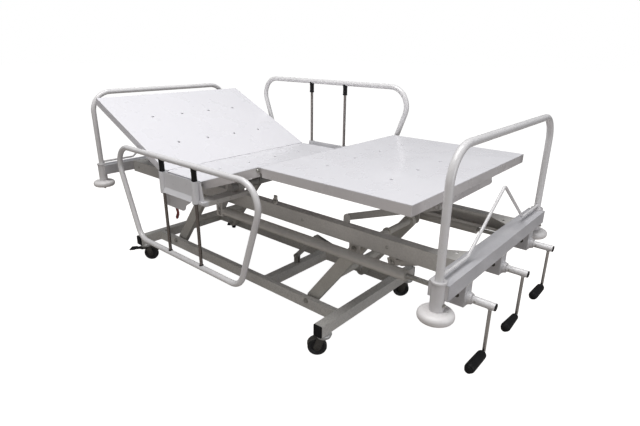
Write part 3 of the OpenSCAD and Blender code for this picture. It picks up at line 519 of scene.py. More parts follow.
@dataclass(frozen=True)
class FinishShelf:
    """The finishes of the bed, by material slot and for single nodes."""

    by_slot: dict[Slot, Finish] = field(
        default_factory=lambda: {
            Slot.DECK: Finish(
                "deck_enamel", (0.806, 0.796, 0.826), (0.788, 0.778, 0.81), (0.24, 0.34), mottle=2.2, grain=240,
                relief=0.015, coat=0.2, edge=0.0009, wear=Wear((0.60, 0.58, 0.57), 0.1, 40.0),
            ),
            Slot.BOW: Finish(
                "tube_enamel", (0.76, 0.745, 0.75), (0.71, 0.70, 0.705), (0.22, 0.32), mottle=5.0, grain=260,
                relief=0.015, coat=0.25, edge=0.001, wear=Wear((0.58, 0.56, 0.54), 0.12, 60.0),
            ),
            Slot.FRAME: Finish(
                "frame_silver_paint", SILVER_TINT, SILVER_SHADE, (0.36, 0.5), 0.2, mottle=7.0, grain=600,
                relief=0.08, hammer=0.22, wear=Wear(BARE, 0.4),
            ),
            Slot.BASE: Finish(
                "base_hammered_paint", (0.79, 0.77, 0.735), (0.68, 0.665, 0.635), (0.34, 0.5), 0.2, mottle=6.0,
                grain=500, relief=0.12, hammer=0.4, edge=0.0022, wear=Wear(BARE, 0.45),
            ),
            Slot.LEG: Finish(
                "leg_silver_paint", (0.66, 0.645, 0.60), (0.56, 0.545, 0.51), (0.34, 0.5), 0.2, mottle=8.0,
                grain=600, relief=0.08, hammer=0.2, wear=Wear(BARE, 0.4),
            ),
            Slot.LINK: Finish(
                "link_silver_paint", (0.52, 0.51, 0.49), (0.43, 0.42, 0.405), (0.36, 0.52), 0.25, mottle=14.0,
                grain=700, relief=0.1, hammer=0.2, wear=Wear(BARE, 0.45),
            ),
            Slot.SOCKET: Finish(
                "socket_enamel", (0.68, 0.665, 0.67), (0.63, 0.615, 0.62), (0.26, 0.38), mottle=12.0, grain=300,
                relief=0.05, coat=0.15, wear=Wear((0.5, 0.48, 0.46), 0.35),
            ),
            Slot.BRACKET: Finish(
                "bracket_enamel", (0.78, 0.775, 0.795), (0.73, 0.725, 0.745), (0.26, 0.38), mottle=12.0, grain=300,
                relief=0.05, coat=0.15, wear=Wear((0.45, 0.43, 0.42), 0.35),
            ),
            Slot.DRIVE: Finish(
                "drive_tube_paint", (0.68, 0.66, 0.625), (0.59, 0.57, 0.54), (0.32, 0.46), 0.25, mottle=9.0,
                grain=600, relief=0.08, hammer=0.15, stretch=(0.35, 1.0, 1.0), wear=Wear(BARE, 0.35),
            ),
            Slot.ZINC: Finish(
                "zinc_plate", (0.56, 0.55, 0.52), (0.42, 0.41, 0.385), (0.28, 0.42), 0.9, mottle=60.0, grain=1500,
                relief=0.12, edge=0.0007,
            ),
            Slot.CHROME: Finish(
                "dull_chrome", (0.60, 0.59, 0.58), (0.46, 0.45, 0.44), (0.12, 0.22), 1.0, mottle=40.0, grain=1800,
                relief=0.04, edge=0.0008, stretch=(1.0, 1.0, 0.2),
            ),
            Slot.BLACK: Finish(
                "black_moulding", (0.011, 0.011, 0.012), (0.007, 0.007, 0.0075), (0.46, 0.60), mottle=30.0,
                specular=0.2,
                grain=1600, relief=0.25, edge=0.001,
            ),
            Slot.FORK: Finish(
                "caster_moulding", (0.085, 0.080, 0.072), (0.048, 0.045, 0.041), (0.34, 0.5), 0.2, mottle=30.0,
                grain=1600, relief=0.2, edge=0.001,
            ),
            Slot.WHEEL: Finish(
                "tread_rubber", (0.022, 0.022, 0.024), (0.013, 0.013, 0.014), (0.5, 0.68), mottle=40.0,
                grain=1400, relief=0.35, edge=0.001,
            ),
            Slot.PLATE: Finish(
                "caster_plate_zinc", (0.60, 0.60, 0.59), (0.50, 0.50, 0.49), (0.3, 0.44), 0.35, mottle=20.0,
                grain=900, relief=0.1, edge=0.001, wear=Wear(BARE, 0.5),
            ),
            Slot.DISC: Finish(
                "bumper_moulding", (0.82, 0.80, 0.795), (0.77, 0.745, 0.74), (0.34, 0.46), mottle=16.0, grain=700,
                relief=0.08, edge=0.001, wear=Wear((0.45, 0.42, 0.40), 0.3, 80.0),
            ),
            Slot.LATCH: Finish(
                "latch_moulding", (0.24, 0.028, 0.024), (0.14, 0.014, 0.013), (0.28, 0.4), mottle=30.0,
                grain=1200, relief=0.1, coat=0.2, edge=0.001, wear=Wear((0.30, 0.12, 0.10), 0.5, 120.0),
            ),
        }
    )
    painted_shade_rim_drop: float = 0.0024
    silver_y: float = 0.4625
    enamel_y: float = 0.444

    def make(self) -> dict[Slot, bpy.types.Material]:
        """Build every finish.

        Returns:
            Materials by slot.
        """
        return {slot: finish.build() for slot, finish in self.by_slot.items()}

    def for_nodes(self) -> dict[str, bpy.types.Material]:
        """Build the finishes of nodes that differ from the rest of their slot.

        Returns:
            Materials by node.
        """
        deck, paint = self.by_slot[Slot.DECK], self.by_slot[Slot.FRAME]
        across = (0.0, 1.0, 0.0)
        lean = (-math.sin(SIZES.thigh_tilt), 0.0, math.cos(SIZES.thigh_tilt))
        # Painted shade: below the top sheet, the leg and thigh panels take the darker rim colour.
        rim = SIZES.hinge_drop - self.painted_shade_rim_drop
        thigh_painted_shade_top = lean[0] * SIZES.thigh_x + lean[2] * SIZES.hinge_z + rim
        leg_painted_shade_rim = Zone((0.0, 0.0, 1.0), SIZES.knee_z + rim, PAINTED_SHADE_RIM_TINT, PAINTED_SHADE_RIM_DARKER)
        silver = Zone(across, self.silver_y, SILVER_TINT, SILVER_SHADE, 0.2, both_sides=True)
        enamel = Zone(across, self.enamel_y, (0.80, 0.79, 0.82), (0.77, 0.76, 0.795), both_sides=True)
        rod = replace(self.by_slot[Slot.ZINC], name="hinge_rod_part_painted", zone=enamel)
        # Painted reflection: the stems' chrome is darkened to stand for the dark room that it reflects.
        stem = replace(
            self.by_slot[Slot.CHROME], name="stem_chrome_painted_dark_reflection", tint=(0.30, 0.275, 0.26), shade=(0.19, 0.17, 0.16)
        )
        finishes = {
            "leg_panel": replace(deck, name="leg_deck_enamel_painted_shade_rim", zone=leg_painted_shade_rim),
            "thigh_panel": replace(
                deck, name="thigh_deck_enamel_painted_shade_rim", zone=Zone(lean, thigh_painted_shade_top, PAINTED_SHADE_RIM_TINT, PAINTED_SHADE_RIM_DARKER)
            ),
            "rail_brackets": replace(self.by_slot[Slot.BRACKET], name="bracket_two_paints", zone=silver),
            "deck_hinge_rods": rod,
            "frame_cross_members": replace(
                paint, name="cross_member_paint", tint=(0.66, 0.655, 0.675), shade=(0.58, 0.575, 0.60), hammer=0.12
            ),
            "rail_stems_near": stem,
            "crank_housings": replace(
                paint, name="housing_paint", tint=(0.66, 0.655, 0.67), shade=(0.57, 0.565, 0.585), hammer=0.12
            ),
            "knee_hinge_rod": rod,
            "rail_stems_far": stem,
        }
        return {name: finish.build() for name, finish in finishes.items()}


MATERIALS: dict[Slot, bpy.types.Material] = {}


# Making meshes

HEX = 1.732  # width of a nut across its flats over the radius of its corners
DOME_TURNS = (0.25, 0.5, 0.75, 1.0, 1.25, 1.45)
CORNER_TURNS = (0.0, 0.4, 0.8, 1.2, math.pi / 2)
RIPPLE = 0.14
RIPPLE_RATE = 2400.0
RIPPLE_STEP = 0.0012


def lathe(profile: Profile, steps: int = 40) -> Mesh:
    """Turn a profile once round +Z.

    Args:
        profile: Radius and height pairs, from the bottom of the axis to its top.
        steps: Faces round the turn.

    Returns:
        A closed mesh.
    """
    bm = bmesh.new()
    verts = [bm.verts.new((r, 0.0, z)) for r, z in profile]
    edges = [bm.edges.new(pair) for pair in zip(verts, verts[1:])]
    bmesh.ops.spin(
        bm,
        geom=verts + edges,
        cent=(0, 0, 0),
        axis=(0, 0, 1),
        dvec=(0, 0, 0),
        angle=math.tau,
        steps=steps,
        use_merge=True,
        use_duplicate=False,
    )
    bmesh.ops.remove_doubles(bm, verts=bm.verts, dist=1e-6)
    bmesh.ops.recalc_face_normals(bm, faces=bm.faces)
    return bm


def ring_profile(outer: float, inner: float, low: float, high: float, soft: float) -> list[Pair]:
    """Closed profile of a sleeve with softened outer corners.

    Args:
        outer: Outer radius.
        inner: Bore radius.
        low: Lower end.
        high: Upper end.
        soft: Corner radius.

    Returns:
        Radius and height pairs, ending where they begin.
    """
    corner = [(outer - soft + soft * math.cos(a), high - soft + soft * math.sin(a)) for a in CORNER_TURNS]
    foot = [(r, low + high - z) for r, z in reversed(corner)]
    return [(inner, low), *foot, *corner, (inner, high), (inner, low)]


def washer(outer: float, inner: float, thick: float) -> Mesh:
    """A washer on +Z with softened rims.

    Args:
        outer: Outer radius.
        inner: Bore radius.
        thick: Thickness.

    Returns:
        The mesh.
    """
    return lathe(ring_profile(outer, inner, 0.0, thick, thick * 0.3), 32)


def dome_head(radius: float, height: float, collar: float = 0.0) -> Mesh:
    """A domed bolt head or cap on +Z.

    Args:
        radius: Its radius.
        height: Its height over the collar.
        collar: Height of the straight part below the dome.

    Returns:
        The mesh.
    """
    rows = [(0.0, 0.0), (radius, 0.0), (radius, collar)]
    rows += [(radius * math.cos(a), collar + height * math.sin(a)) for a in DOME_TURNS]
    return lathe([*rows, (0.0, collar + height)], 28)


def block(size: Point, soft: float, segments: int = 3) -> Mesh:
    """A block with rounded edges, centred on the origin.

    Args:
        size: Its three sizes.
        soft: Edge radius.
        segments: Faces across each edge.

    Returns:
        The mesh.
    """
    bm = bmesh.new()
    bmesh.ops.create_cube(bm, size=1.0)
    bmesh.ops.scale(bm, vec=size, verts=bm.verts)
    soften(bm, list(bm.edges), soft, segments)
    return bm


def soften(bm: Mesh, edges: Sequence[bmesh.types.BMEdge], radius: float, segments: int) -> None:
    """Round some edges of a mesh.

    Args:
        bm: The mesh.
        edges: The edges.
        radius: Their radius.
        segments: Faces across each.
    """
    bmesh.ops.bevel(
        bm,
        geom=list(edges),
        offset=radius,
        offset_type="OFFSET",
        segments=segments,
        profile=0.5,
        affect="EDGES",
        clamp_overlap=True,
        material=-1,
    )


def hex_nut(across: float, height: float) -> Mesh:
    """A six-sided nut on +Z with a chamfered top and a dished face.

    Args:
        across: Width across the flats.
        height: Its height.

    Returns:
        The mesh.
    """
    bm = bmesh.new()
    corner = across / HEX
    bmesh.ops.create_cone(bm, cap_ends=True, segments=6, radius1=corner, radius2=corner, depth=height)
    bmesh.ops.translate(bm, vec=(0, 0, height / 2), verts=bm.verts)
    soften(bm, [e for e in bm.edges if all(v.co.z > height * 0.9 for v in e.verts)], height * 0.16, 2)
    top = [f for f in bm.faces if f.normal.z > 0.9 and f.calc_center_median().z > height * 0.9]
    bmesh.ops.inset_region(bm, faces=top, thickness=across * 0.2, depth=-height * 0.06)
    return bm


def bolt_end(across: float, height: float, shank: float, proud: float) -> Mesh:
    """A nut on +Z with a washer below it and the chamfered bolt end standing proud.

    Args:
        across: Width of the nut across its flats.
        height: Height of the nut.
        shank: Radius of the bolt.
        proud: How far the bolt stands out of the nut.

    Returns:
        The mesh.
    """
    base = height * 0.18
    nut = placed(hex_nut(across, height), (0, 0, base))
    tip = base + height + proud
    rows = [(0.0, base), (shank, base), (shank, tip - proud * 0.4), (shank * 0.75, tip), (0.0, tip)]
    return merged([washer(across * 0.72, shank, base), nut, lathe(rows, 24)])


def rounded(points: Sequence[Point], bends: Sequence[float], closed: bool = False, steps: int = 12) -> list[Vector]:
    """Round the corners of a path of straight runs.

    Args:
        points: Corners of the path.
        bends: Bend radius at each corner; the ends of an open path are not used.
        closed: Whether the path runs back to its start.
        steps: Pieces of each bend.

    Returns:
        Points along the path.
    """
    spots = [Vector(p) for p in points]
    count = len(spots)
    path: list[Vector] = []
    for i, spot in enumerate(spots):
        if not closed and i in (0, count - 1):
            path.append(spot)
            continue
        before = (spots[i - 1] - spot).normalized()
        after = (spots[(i + 1) % count] - spot).normalized()
        half = before.angle(after) / 2
        cut = bends[i] / math.tan(half)
        middle = spot + (before + after).normalized() * (bends[i] / math.sin(half))
        start, end = spot + before * cut - middle, spot + after * cut - middle
        for k in range(steps + 1):
            path.append(middle + start.slerp(end, k / steps) * bends[i])
    return path


def skin_rings(bm: Mesh, rings: Sequence[Sequence[bmesh.types.BMVert]]) -> None:
    """Lay faces between rings of vertices.

    Args:
        bm: The mesh.
        rings: The rings, one after another.
    """
    for low, high in zip(rings, rings[1:]):
        count = len(low)
        for k in range(count):
            bm.faces.new((low[k], low[(k + 1) % count], high[(k + 1) % count], high[k]))


def tube(
    path: Sequence[Vector],
    radius: float | Callable[[float], float],
    closed: bool = False,
    around: int = 32,
) -> Mesh:
    """Sweep a round section along a path.

    Args:
        path: Points along the path.
        radius: Its radius, or the radius at a distance along the path.
        closed: Whether the path runs back to its start.
        around: Faces round the section.

    Returns:
        A closed mesh.
    """
    bm = bmesh.new()
    count = len(path)
    ahead = []
    for i in range(count):
        back = path[i] - path[i - 1] if closed or i > 0 else path[1] - path[0]
        fore = path[(i + 1) % count] - path[i] if closed or i < count - 1 else path[-1] - path[-2]
        ahead.append((back.normalized() + fore.normalized()).normalized())
    side = ahead[0].orthogonal().normalized()
    rings, along = [], 0.0
    for i, (spot, way) in enumerate(zip(path, ahead)):
        if i:
            along += (path[i] - path[i - 1]).length
            side = (ahead[i - 1].rotation_difference(way) @ side).normalized()
        lift = way.cross(side)
        r = radius(along) if callable(radius) else radius
        turns = (math.tau * k / around for k in range(around))
        rings.append([bm.verts.new(spot + r * (math.cos(a) * side + math.sin(a) * lift)) for a in turns])
    skin_rings(bm, rings)
    if closed:
        first, last = rings[0], rings[-1]
        shift = min(range(around), key=lambda k: (last[0].co - first[k].co).length)
        for k in range(around):
            a, b = (k + shift) % around, (k + 1 + shift) % around
            bm.faces.new((last[k], last[(k + 1) % around], first[b], first[a]))
    else:
        bm.faces.new(list(reversed(rings[0])))
        bm.faces.new(rings[-1])
    bmesh.ops.recalc_face_normals(bm, faces=bm.faces)
    return bm


def bead(path: Sequence[Vector], radius: float = 0.002, closed: bool = False) -> Mesh:
    """A weld bead with its ripples.

    Args:
        path: The line it follows.
        radius: Its radius.
        closed: Whether it runs back to its start.

    Returns:
        The mesh.
    """
    fine: list[Vector] = []
    loop = [*path, path[0]] if closed else list(path)
    for a, b in zip(loop, loop[1:]):
        steps = max(1, round((b - a).length / RIPPLE_STEP))
        fine += [a.lerp(b, k / steps) for k in range(steps)]
    if not closed:
        fine.append(loop[-1])
    return tube(fine, lambda s: radius * (1.0 + RIPPLE * math.sin(s * RIPPLE_RATE)), closed, 10)


def ring_bead(at: Point, axis: Axis, ring: float, radius: float = 0.002) -> Mesh:
    """A weld bead round a tube.

    Args:
        at: Middle of the ring.
        axis: Axis of the tube.
        ring: Radius of the ring.
        radius: Radius of the bead.

    Returns:
        The mesh.
    """
    turn = axis.matrix().to_3x3()
    steps = (math.tau * k / 40 for k in range(40))
    path = [Vector(at) + turn @ Vector((ring * math.cos(a), ring * math.sin(a), 0.0)) for a in steps]
    return bead(path, radius, True)


def frame_bead(at: Point, half_a: Vector, half_b: Vector, radius: float = 0.002) -> Mesh:
    """A weld bead round a rectangular section.

    Args:
        at: Middle of the rectangle.
        half_a: From the middle to one pair of sides.
        half_b: From the middle to the other pair.
        radius: Radius of the bead.

    Returns:
        The mesh.
    """
    middle = Vector(at)
    steps = (half_a + half_b, half_b - half_a, -half_a - half_b, half_a - half_b)
    return bead([middle + step for step in steps], radius, True)


def line_bead(start: Point, end: Point, radius: float = 0.002) -> Mesh:
    """A straight weld bead.

    Args:
        start: Its start.
        end: Its end.
        radius: Its radius.

    Returns:
        The mesh.
    """
    return bead([Vector(start), Vector(end)], radius)


def sheet(profile: Profile, thick: float, start: float, end: float) -> Mesh:
    """Bent sheet metal, drawn as a profile and drawn out along X.

    Args:
        profile: Y and Z pairs along the middle of the sheet.
        thick: Sheet thickness.
        start: Where it starts on X.
        end: Where it ends.

    Returns:
        The mesh.
    """
    spots = [Vector((0.0, y, z)) for y, z in profile]
    outline_a, outline_b = [], []
    for i, spot in enumerate(spots):
        back = (spot - spots[i - 1]).normalized() if i else (spots[1] - spot).normalized()
        fore = (spots[i + 1] - spot).normalized() if i < len(spots) - 1 else back
        way = (back + fore).normalized()
        out = Vector((0.0, -way.z, way.y)) * (thick / 2)
        outline_a.append(spot + out)
        outline_b.append(spot - out)
    ring = outline_a + outline_b[::-1]
    bm = bmesh.new()
    near = [bm.verts.new((start, p.y, p.z)) for p in ring]
    far = [bm.verts.new((end, p.y, p.z)) for p in ring]
    count = len(ring)
    for k in range(count):
        bm.faces.new((near[k], near[(k + 1) % count], far[(k + 1) % count], far[k]))
    half = len(outline_a)
    for verts in (near, far):
        for k in range(half - 1):
            bm.faces.new((verts[k], verts[k + 1], verts[count - 2 - k], verts[count - 1 - k]))
    bmesh.ops.recalc_face_normals(bm, faces=bm.faces)
    return bm


def plate(outline: Sequence[Pair], start: float, end: float, soft: float = 0.001) -> Mesh:
    """A flat plate drawn in the XZ plane and given its thickness along Y.

    Args:
        outline: X and Z pairs round the plate.
        start: Where it starts on Y.
        end: Where it ends.
        soft: Edge radius.

    Returns:
        The mesh.
    """
    bm = bmesh.new()
    verts = [bm.verts.new((x, start, z)) for x, z in outline]
    face = bm.faces.new(verts)
    drawn = bmesh.ops.extrude_face_region(bm, geom=[face])
    moved = [g for g in drawn["geom"] if isinstance(g, bmesh.types.BMVert)]
    bmesh.ops.translate(bm, vec=(0.0, end - start, 0.0), verts=moved)
    bmesh.ops.recalc_face_normals(bm, faces=bm.faces)
    rims = [e for e in bm.edges if abs(e.verts[0].co.y - e.verts[1].co.y) < 1e-7]
    if soft > 0.0:
        soften(bm, rims, soft, 2)
    return bm


def hull_outline(circles: Sequence[Point], steps: int = 24) -> list[Pair]:
    """Outline of the rubber band round some circles.

    Args:
        circles: X, Z and radius of each.
        steps: Points on each circle.

    Returns:
        X and Z pairs, turning one way.
    """
    turns = [math.tau * k / steps for k in range(steps)]
    rims = ((x + r * math.cos(a), z + r * math.sin(a)) for x, z, r in circles for a in turns)
    spots = sorted({(round(x, 7), round(z, 7)) for x, z in rims})
    return _half_hull(spots) + _half_hull(reversed(spots))


def _half_hull(points: Iterable[Pair]) -> list[Pair]:
    """One side of a convex outline.

    Args:
        points: Sorted points.

    Returns:
        The points of that side, without its last one.
    """
    run: list[Pair] = []
    for p in points:
        while len(run) > 1 and _turn(run[-2], run[-1], p) <= 1e-12:
            run.pop()
        run.append(p)
    return run[:-1]


def _turn(a: Pair, b: Pair, c: Pair) -> float:
    """Twice the signed area of a triangle.

    Args:
        a: First corner.
        b: Second corner.
        c: Third corner.

    Returns:
        The area, positive where the corners turn left.
    """
    return (b[0] - a[0]) * (c[1] - a[1]) - (b[1] - a[1]) * (c[0] - a[0])


def ribbon_outline(path: Sequence[Pair], widths: Sequence[float]) -> list[Pair]:
    """Outline of a curved bar of changing width with a round end.

    Args:
        path: X and Z pairs along its middle.
        widths: Half width at each of them.

    Returns:
        X and Z pairs round the bar.
    """
    left, right = [], []
    for i, (x, z) in enumerate(path):
        x0, z0 = path[max(i - 1, 0)]
        x1, z1 = path[min(i + 1, len(path) - 1)]
        run = math.hypot(x1 - x0, z1 - z0)
        nx, nz = -(z1 - z0) / run, (x1 - x0) / run
        left.append((x + nx * widths[i], z + nz * widths[i]))
        right.append((x - nx * widths[i], z - nz * widths[i]))
    (x0, z0), (x1, z1) = path[-2], path[-1]
    way = math.atan2(z1 - z0, x1 - x0)
    turns = (way + math.pi / 2 - math.pi * k / 8 for k in range(1, 8))
    cap = [(x1 + widths[-1] * math.cos(a), z1 + widths[-1] * math.sin(a)) for a in turns]
    return left + cap + right[::-1]


def thread(length: float, radius: float, pitch: float, depth: float, around: int = 28) -> Mesh:
    """A coarse screw thread on +Z.

    Args:
        length: Its length.
        radius: Radius over the thread.
        pitch: Distance between turns.
        depth: Depth of the thread.
        around: Faces round the screw.

    Returns:
        The mesh.
    """
    bm = bmesh.new()
    per_turn, flank, crest = 6, 8.0, 2.6
    rows = round(length / pitch * per_turn)
    rings = []
    for i in range(rows + 1):
        z = length * i / rows
        ring = []
        for k in range(around):
            phase = (z / pitch + k / around) % 1.0
            cut = depth * min(1.0, max(0.0, crest - abs(phase - 0.5) * flank))
            a = math.tau * k / around
            ring.append(bm.verts.new(((radius - cut) * math.cos(a), (radius - cut) * math.sin(a), z)))
        rings.append(ring)
    skin_rings(bm, rings)
    bm.faces.new(list(reversed(rings[0])))
    bm.faces.new(rings[-1])
    return bm


def placed(bm: Mesh, at: Sequence[float], turn: Axis | Matrix = Axis.Z) -> Mesh:
    """Turn and then move a mesh.

    Args:
        bm: The mesh.
        at: Where its origin goes.
        turn: Its turn, or the axis that its +Z is laid along.

    Returns:
        The same mesh.
    """
    turned = turn.matrix() if isinstance(turn, Axis) else turn
    bmesh.ops.transform(bm, matrix=Matrix.Translation(Vector(at)) @ turned, verts=bm.verts)
    return bm


def merged(parts: Iterable[Mesh]) -> Mesh:
    """Join meshes into one.

    Args:
        parts: The meshes, which are freed.

    Returns:
        One mesh with all their faces.
    """
    whole = bmesh.new()
    for part in parts:
        scratch = bpy.data.meshes.new("scratch")
        part.to_mesh(scratch)
        part.free()
        whole.from_mesh(scratch)
        bpy.data.meshes.remove(scratch)
    return whole


def finish_piece(
    name: str,
    bm: Mesh,
    slot: Slot,
    body: str,
    stands_for: Sequence[str] = (),
    sharp: float = 35.0,
) -> bpy.types.Object:
    """Make an object of a mesh, give it its finish and let it ride on a body.

    Args:
        name: Name of the piece.
        bm: Its mesh in place, which is freed.
        slot: Its material slot.
        body: The CAD body it moves with.
        stands_for: CAD nodes that it replaces.
        sharp: Angle in degrees above which an edge stays sharp.

    Returns:
        The object.
    """
    mesh = bpy.data.meshes.new(name)
    for face in bm.faces:
        face.smooth = True
    bm.to_mesh(mesh)
    bm.free()
    mesh.set_sharp_from_angle(angle=math.radians(sharp))
    mesh.materials.append(MATERIALS[slot])
    obj = bpy.data.objects.new(name, mesh)
    bpy.context.scene.collection.objects.link(obj)
    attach(obj, body)
    if stands_for:
        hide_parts(*stands_for)
    log.info("%s rides on %s", name, body)
    return obj


@dataclass
class CadFinishes:
    """Gives every carried-over CAD node the finish of its slot, or its own."""

    own: dict[str, bpy.types.Material]

    def dress(self) -> None:
        """Put the finishes on."""
        wanted = {entry["node"]: Slot(entry["material_slot"]) for entry in frame["record"]["subparts"]}
        for name, obj in frame["nodes"].items():
            mesh = obj.data
            mesh.materials.clear()
            mesh.materials.append(self.own.get(name, MATERIALS[wanted[name]]))
            log.info("%s has finish %s", name, mesh.materials[0].name)


# End bows and side rails


@dataclass(frozen=True)
class EndBow:
    """Bent end bow with its peaked inner rod and the welds between them."""

    key: str
    x: float
    rod_r: float = 0.0052
    rod_sink: float = 0.003
    rod_bends: tuple[float, ...] = (0.0, 0.026, 0.017, 0.026, 0.0)
    weld_out: float = 0.0006
    weld_r: float = 0.0018

    def build(self) -> None:
        """Make the bow in place of its CAD node."""
        s = SIZES
        low, top, rod_z = s.frame_top - s.bow_foot, s.frame_top + s.bow_rise, s.frame_top + s.rod_rise
        inner = s.post_y - s.tube_r + self.rod_sink
        bow_spots = ((-s.post_y, low), (-s.post_y, top), (s.post_y, top), (s.post_y, low))
        rod_spots = (
            (-inner, rod_z), (-s.peak_y, rod_z), (0.0, s.frame_top + s.peak_rise), (s.peak_y, rod_z), (inner, rod_z),
        )
        bow_path = rounded([(self.x, y, z) for y, z in bow_spots], [0.0, s.bow_bend, s.bow_bend, 0.0], steps=20)
        rod_path = rounded([(self.x, y, z) for y, z in rod_spots], self.rod_bends, steps=14)
        parts = [tube(bow_path, s.tube_r - SKIN, around=48), tube(rod_path, self.rod_r, around=24)]
        for sign in SIGNS:
            at = (self.x, sign * (s.post_y - s.tube_r - self.weld_out), rod_z)
            parts.append(ring_bead(at, Axis.Y, self.rod_r + 0.0012, self.weld_r))
        name = f"{self.key}_bow"
        finish_piece(f"bent_{name}", merged(parts), Slot.BOW, name, [name])


@dataclass(frozen=True)
class SideLoop:
    """Closed tube loop of one side rail, with its black sleeves and stem feet."""

    side: str
    sign: float
    raise_by: float
    bends: tuple[float, ...] = (0.075, 0.075, 0.095, 0.095)
    seam_x: float = 0.05
    sleeve_r: float = 0.0122
    sleeve_len: float = 0.0485
    sleeve_top: float = 0.009
    foot_r: float = 0.0092
    foot_h: float = 0.0044

    def build(self) -> None:
        """Make the loop in place of its CAD node, and its fittings."""
        s = SIZES
        y, low = self.sign * s.side_y, s.low_z + self.raise_by
        high = low + s.loop_h
        body = f"side_rail_{self.side}"
        corners = [
            (s.rail_x - s.loop_bottom / 2, y, low),
            (s.rail_x + s.loop_bottom / 2, y, low),
            (s.rail_x + s.loop_top / 2, y, high),
            (s.rail_x - s.loop_top / 2, y, high),
        ]
        loop = tube(rounded(corners, self.bends, closed=True, steps=18), s.tube_r, True, 48)
        seam = ring_bead((s.rail_x + self.seam_x, y, low), Axis.X, s.tube_r - 0.0004, 0.0006)
        finish_piece(f"bent_{body}", merged([loop, seam]), Slot.BOW, body, [body])
        sleeves, feet = [], []
        for x in s.stems:
            sleeves.append(placed(lathe(self._sleeve(), 36), (x, y, high - s.tube_r)))
            foot = lathe(ring_profile(self.foot_r, s.stem_r, 0.0, self.foot_h, 0.0014), 30)
            feet.append(placed(foot, (x, y, low + s.tube_r - self.foot_h / 2)))
            feet.append(ring_bead((x, y, low + s.tube_r - 0.0005), Axis.Z, self.foot_r - 0.0004, 0.0012))
        finish_piece(f"rail_sleeves_{self.side}", merged(sleeves), Slot.BLACK, body)
        finish_piece(f"stem_feet_{self.side}", merged(feet), Slot.BLACK, body)

    def _sleeve(self) -> Profile:
        """Profile of a sleeve with a lip at its foot, drawn from the underside of the tube.

        Returns:
            Radius and height pairs.
        """
        r, foot, top, bore = self.sleeve_r, -self.sleeve_len, self.sleeve_top, SIZES.stem_r
        return [
            (bore, foot), (r - 0.0012, foot), (r, foot + 0.0014), (r, foot + 0.006), (r - 0.0008, foot + 0.0075),
            (r - 0.0008, -top), (r, -0.0075), (r - 0.0002, top), (bore, top), (bore, foot),
        ]


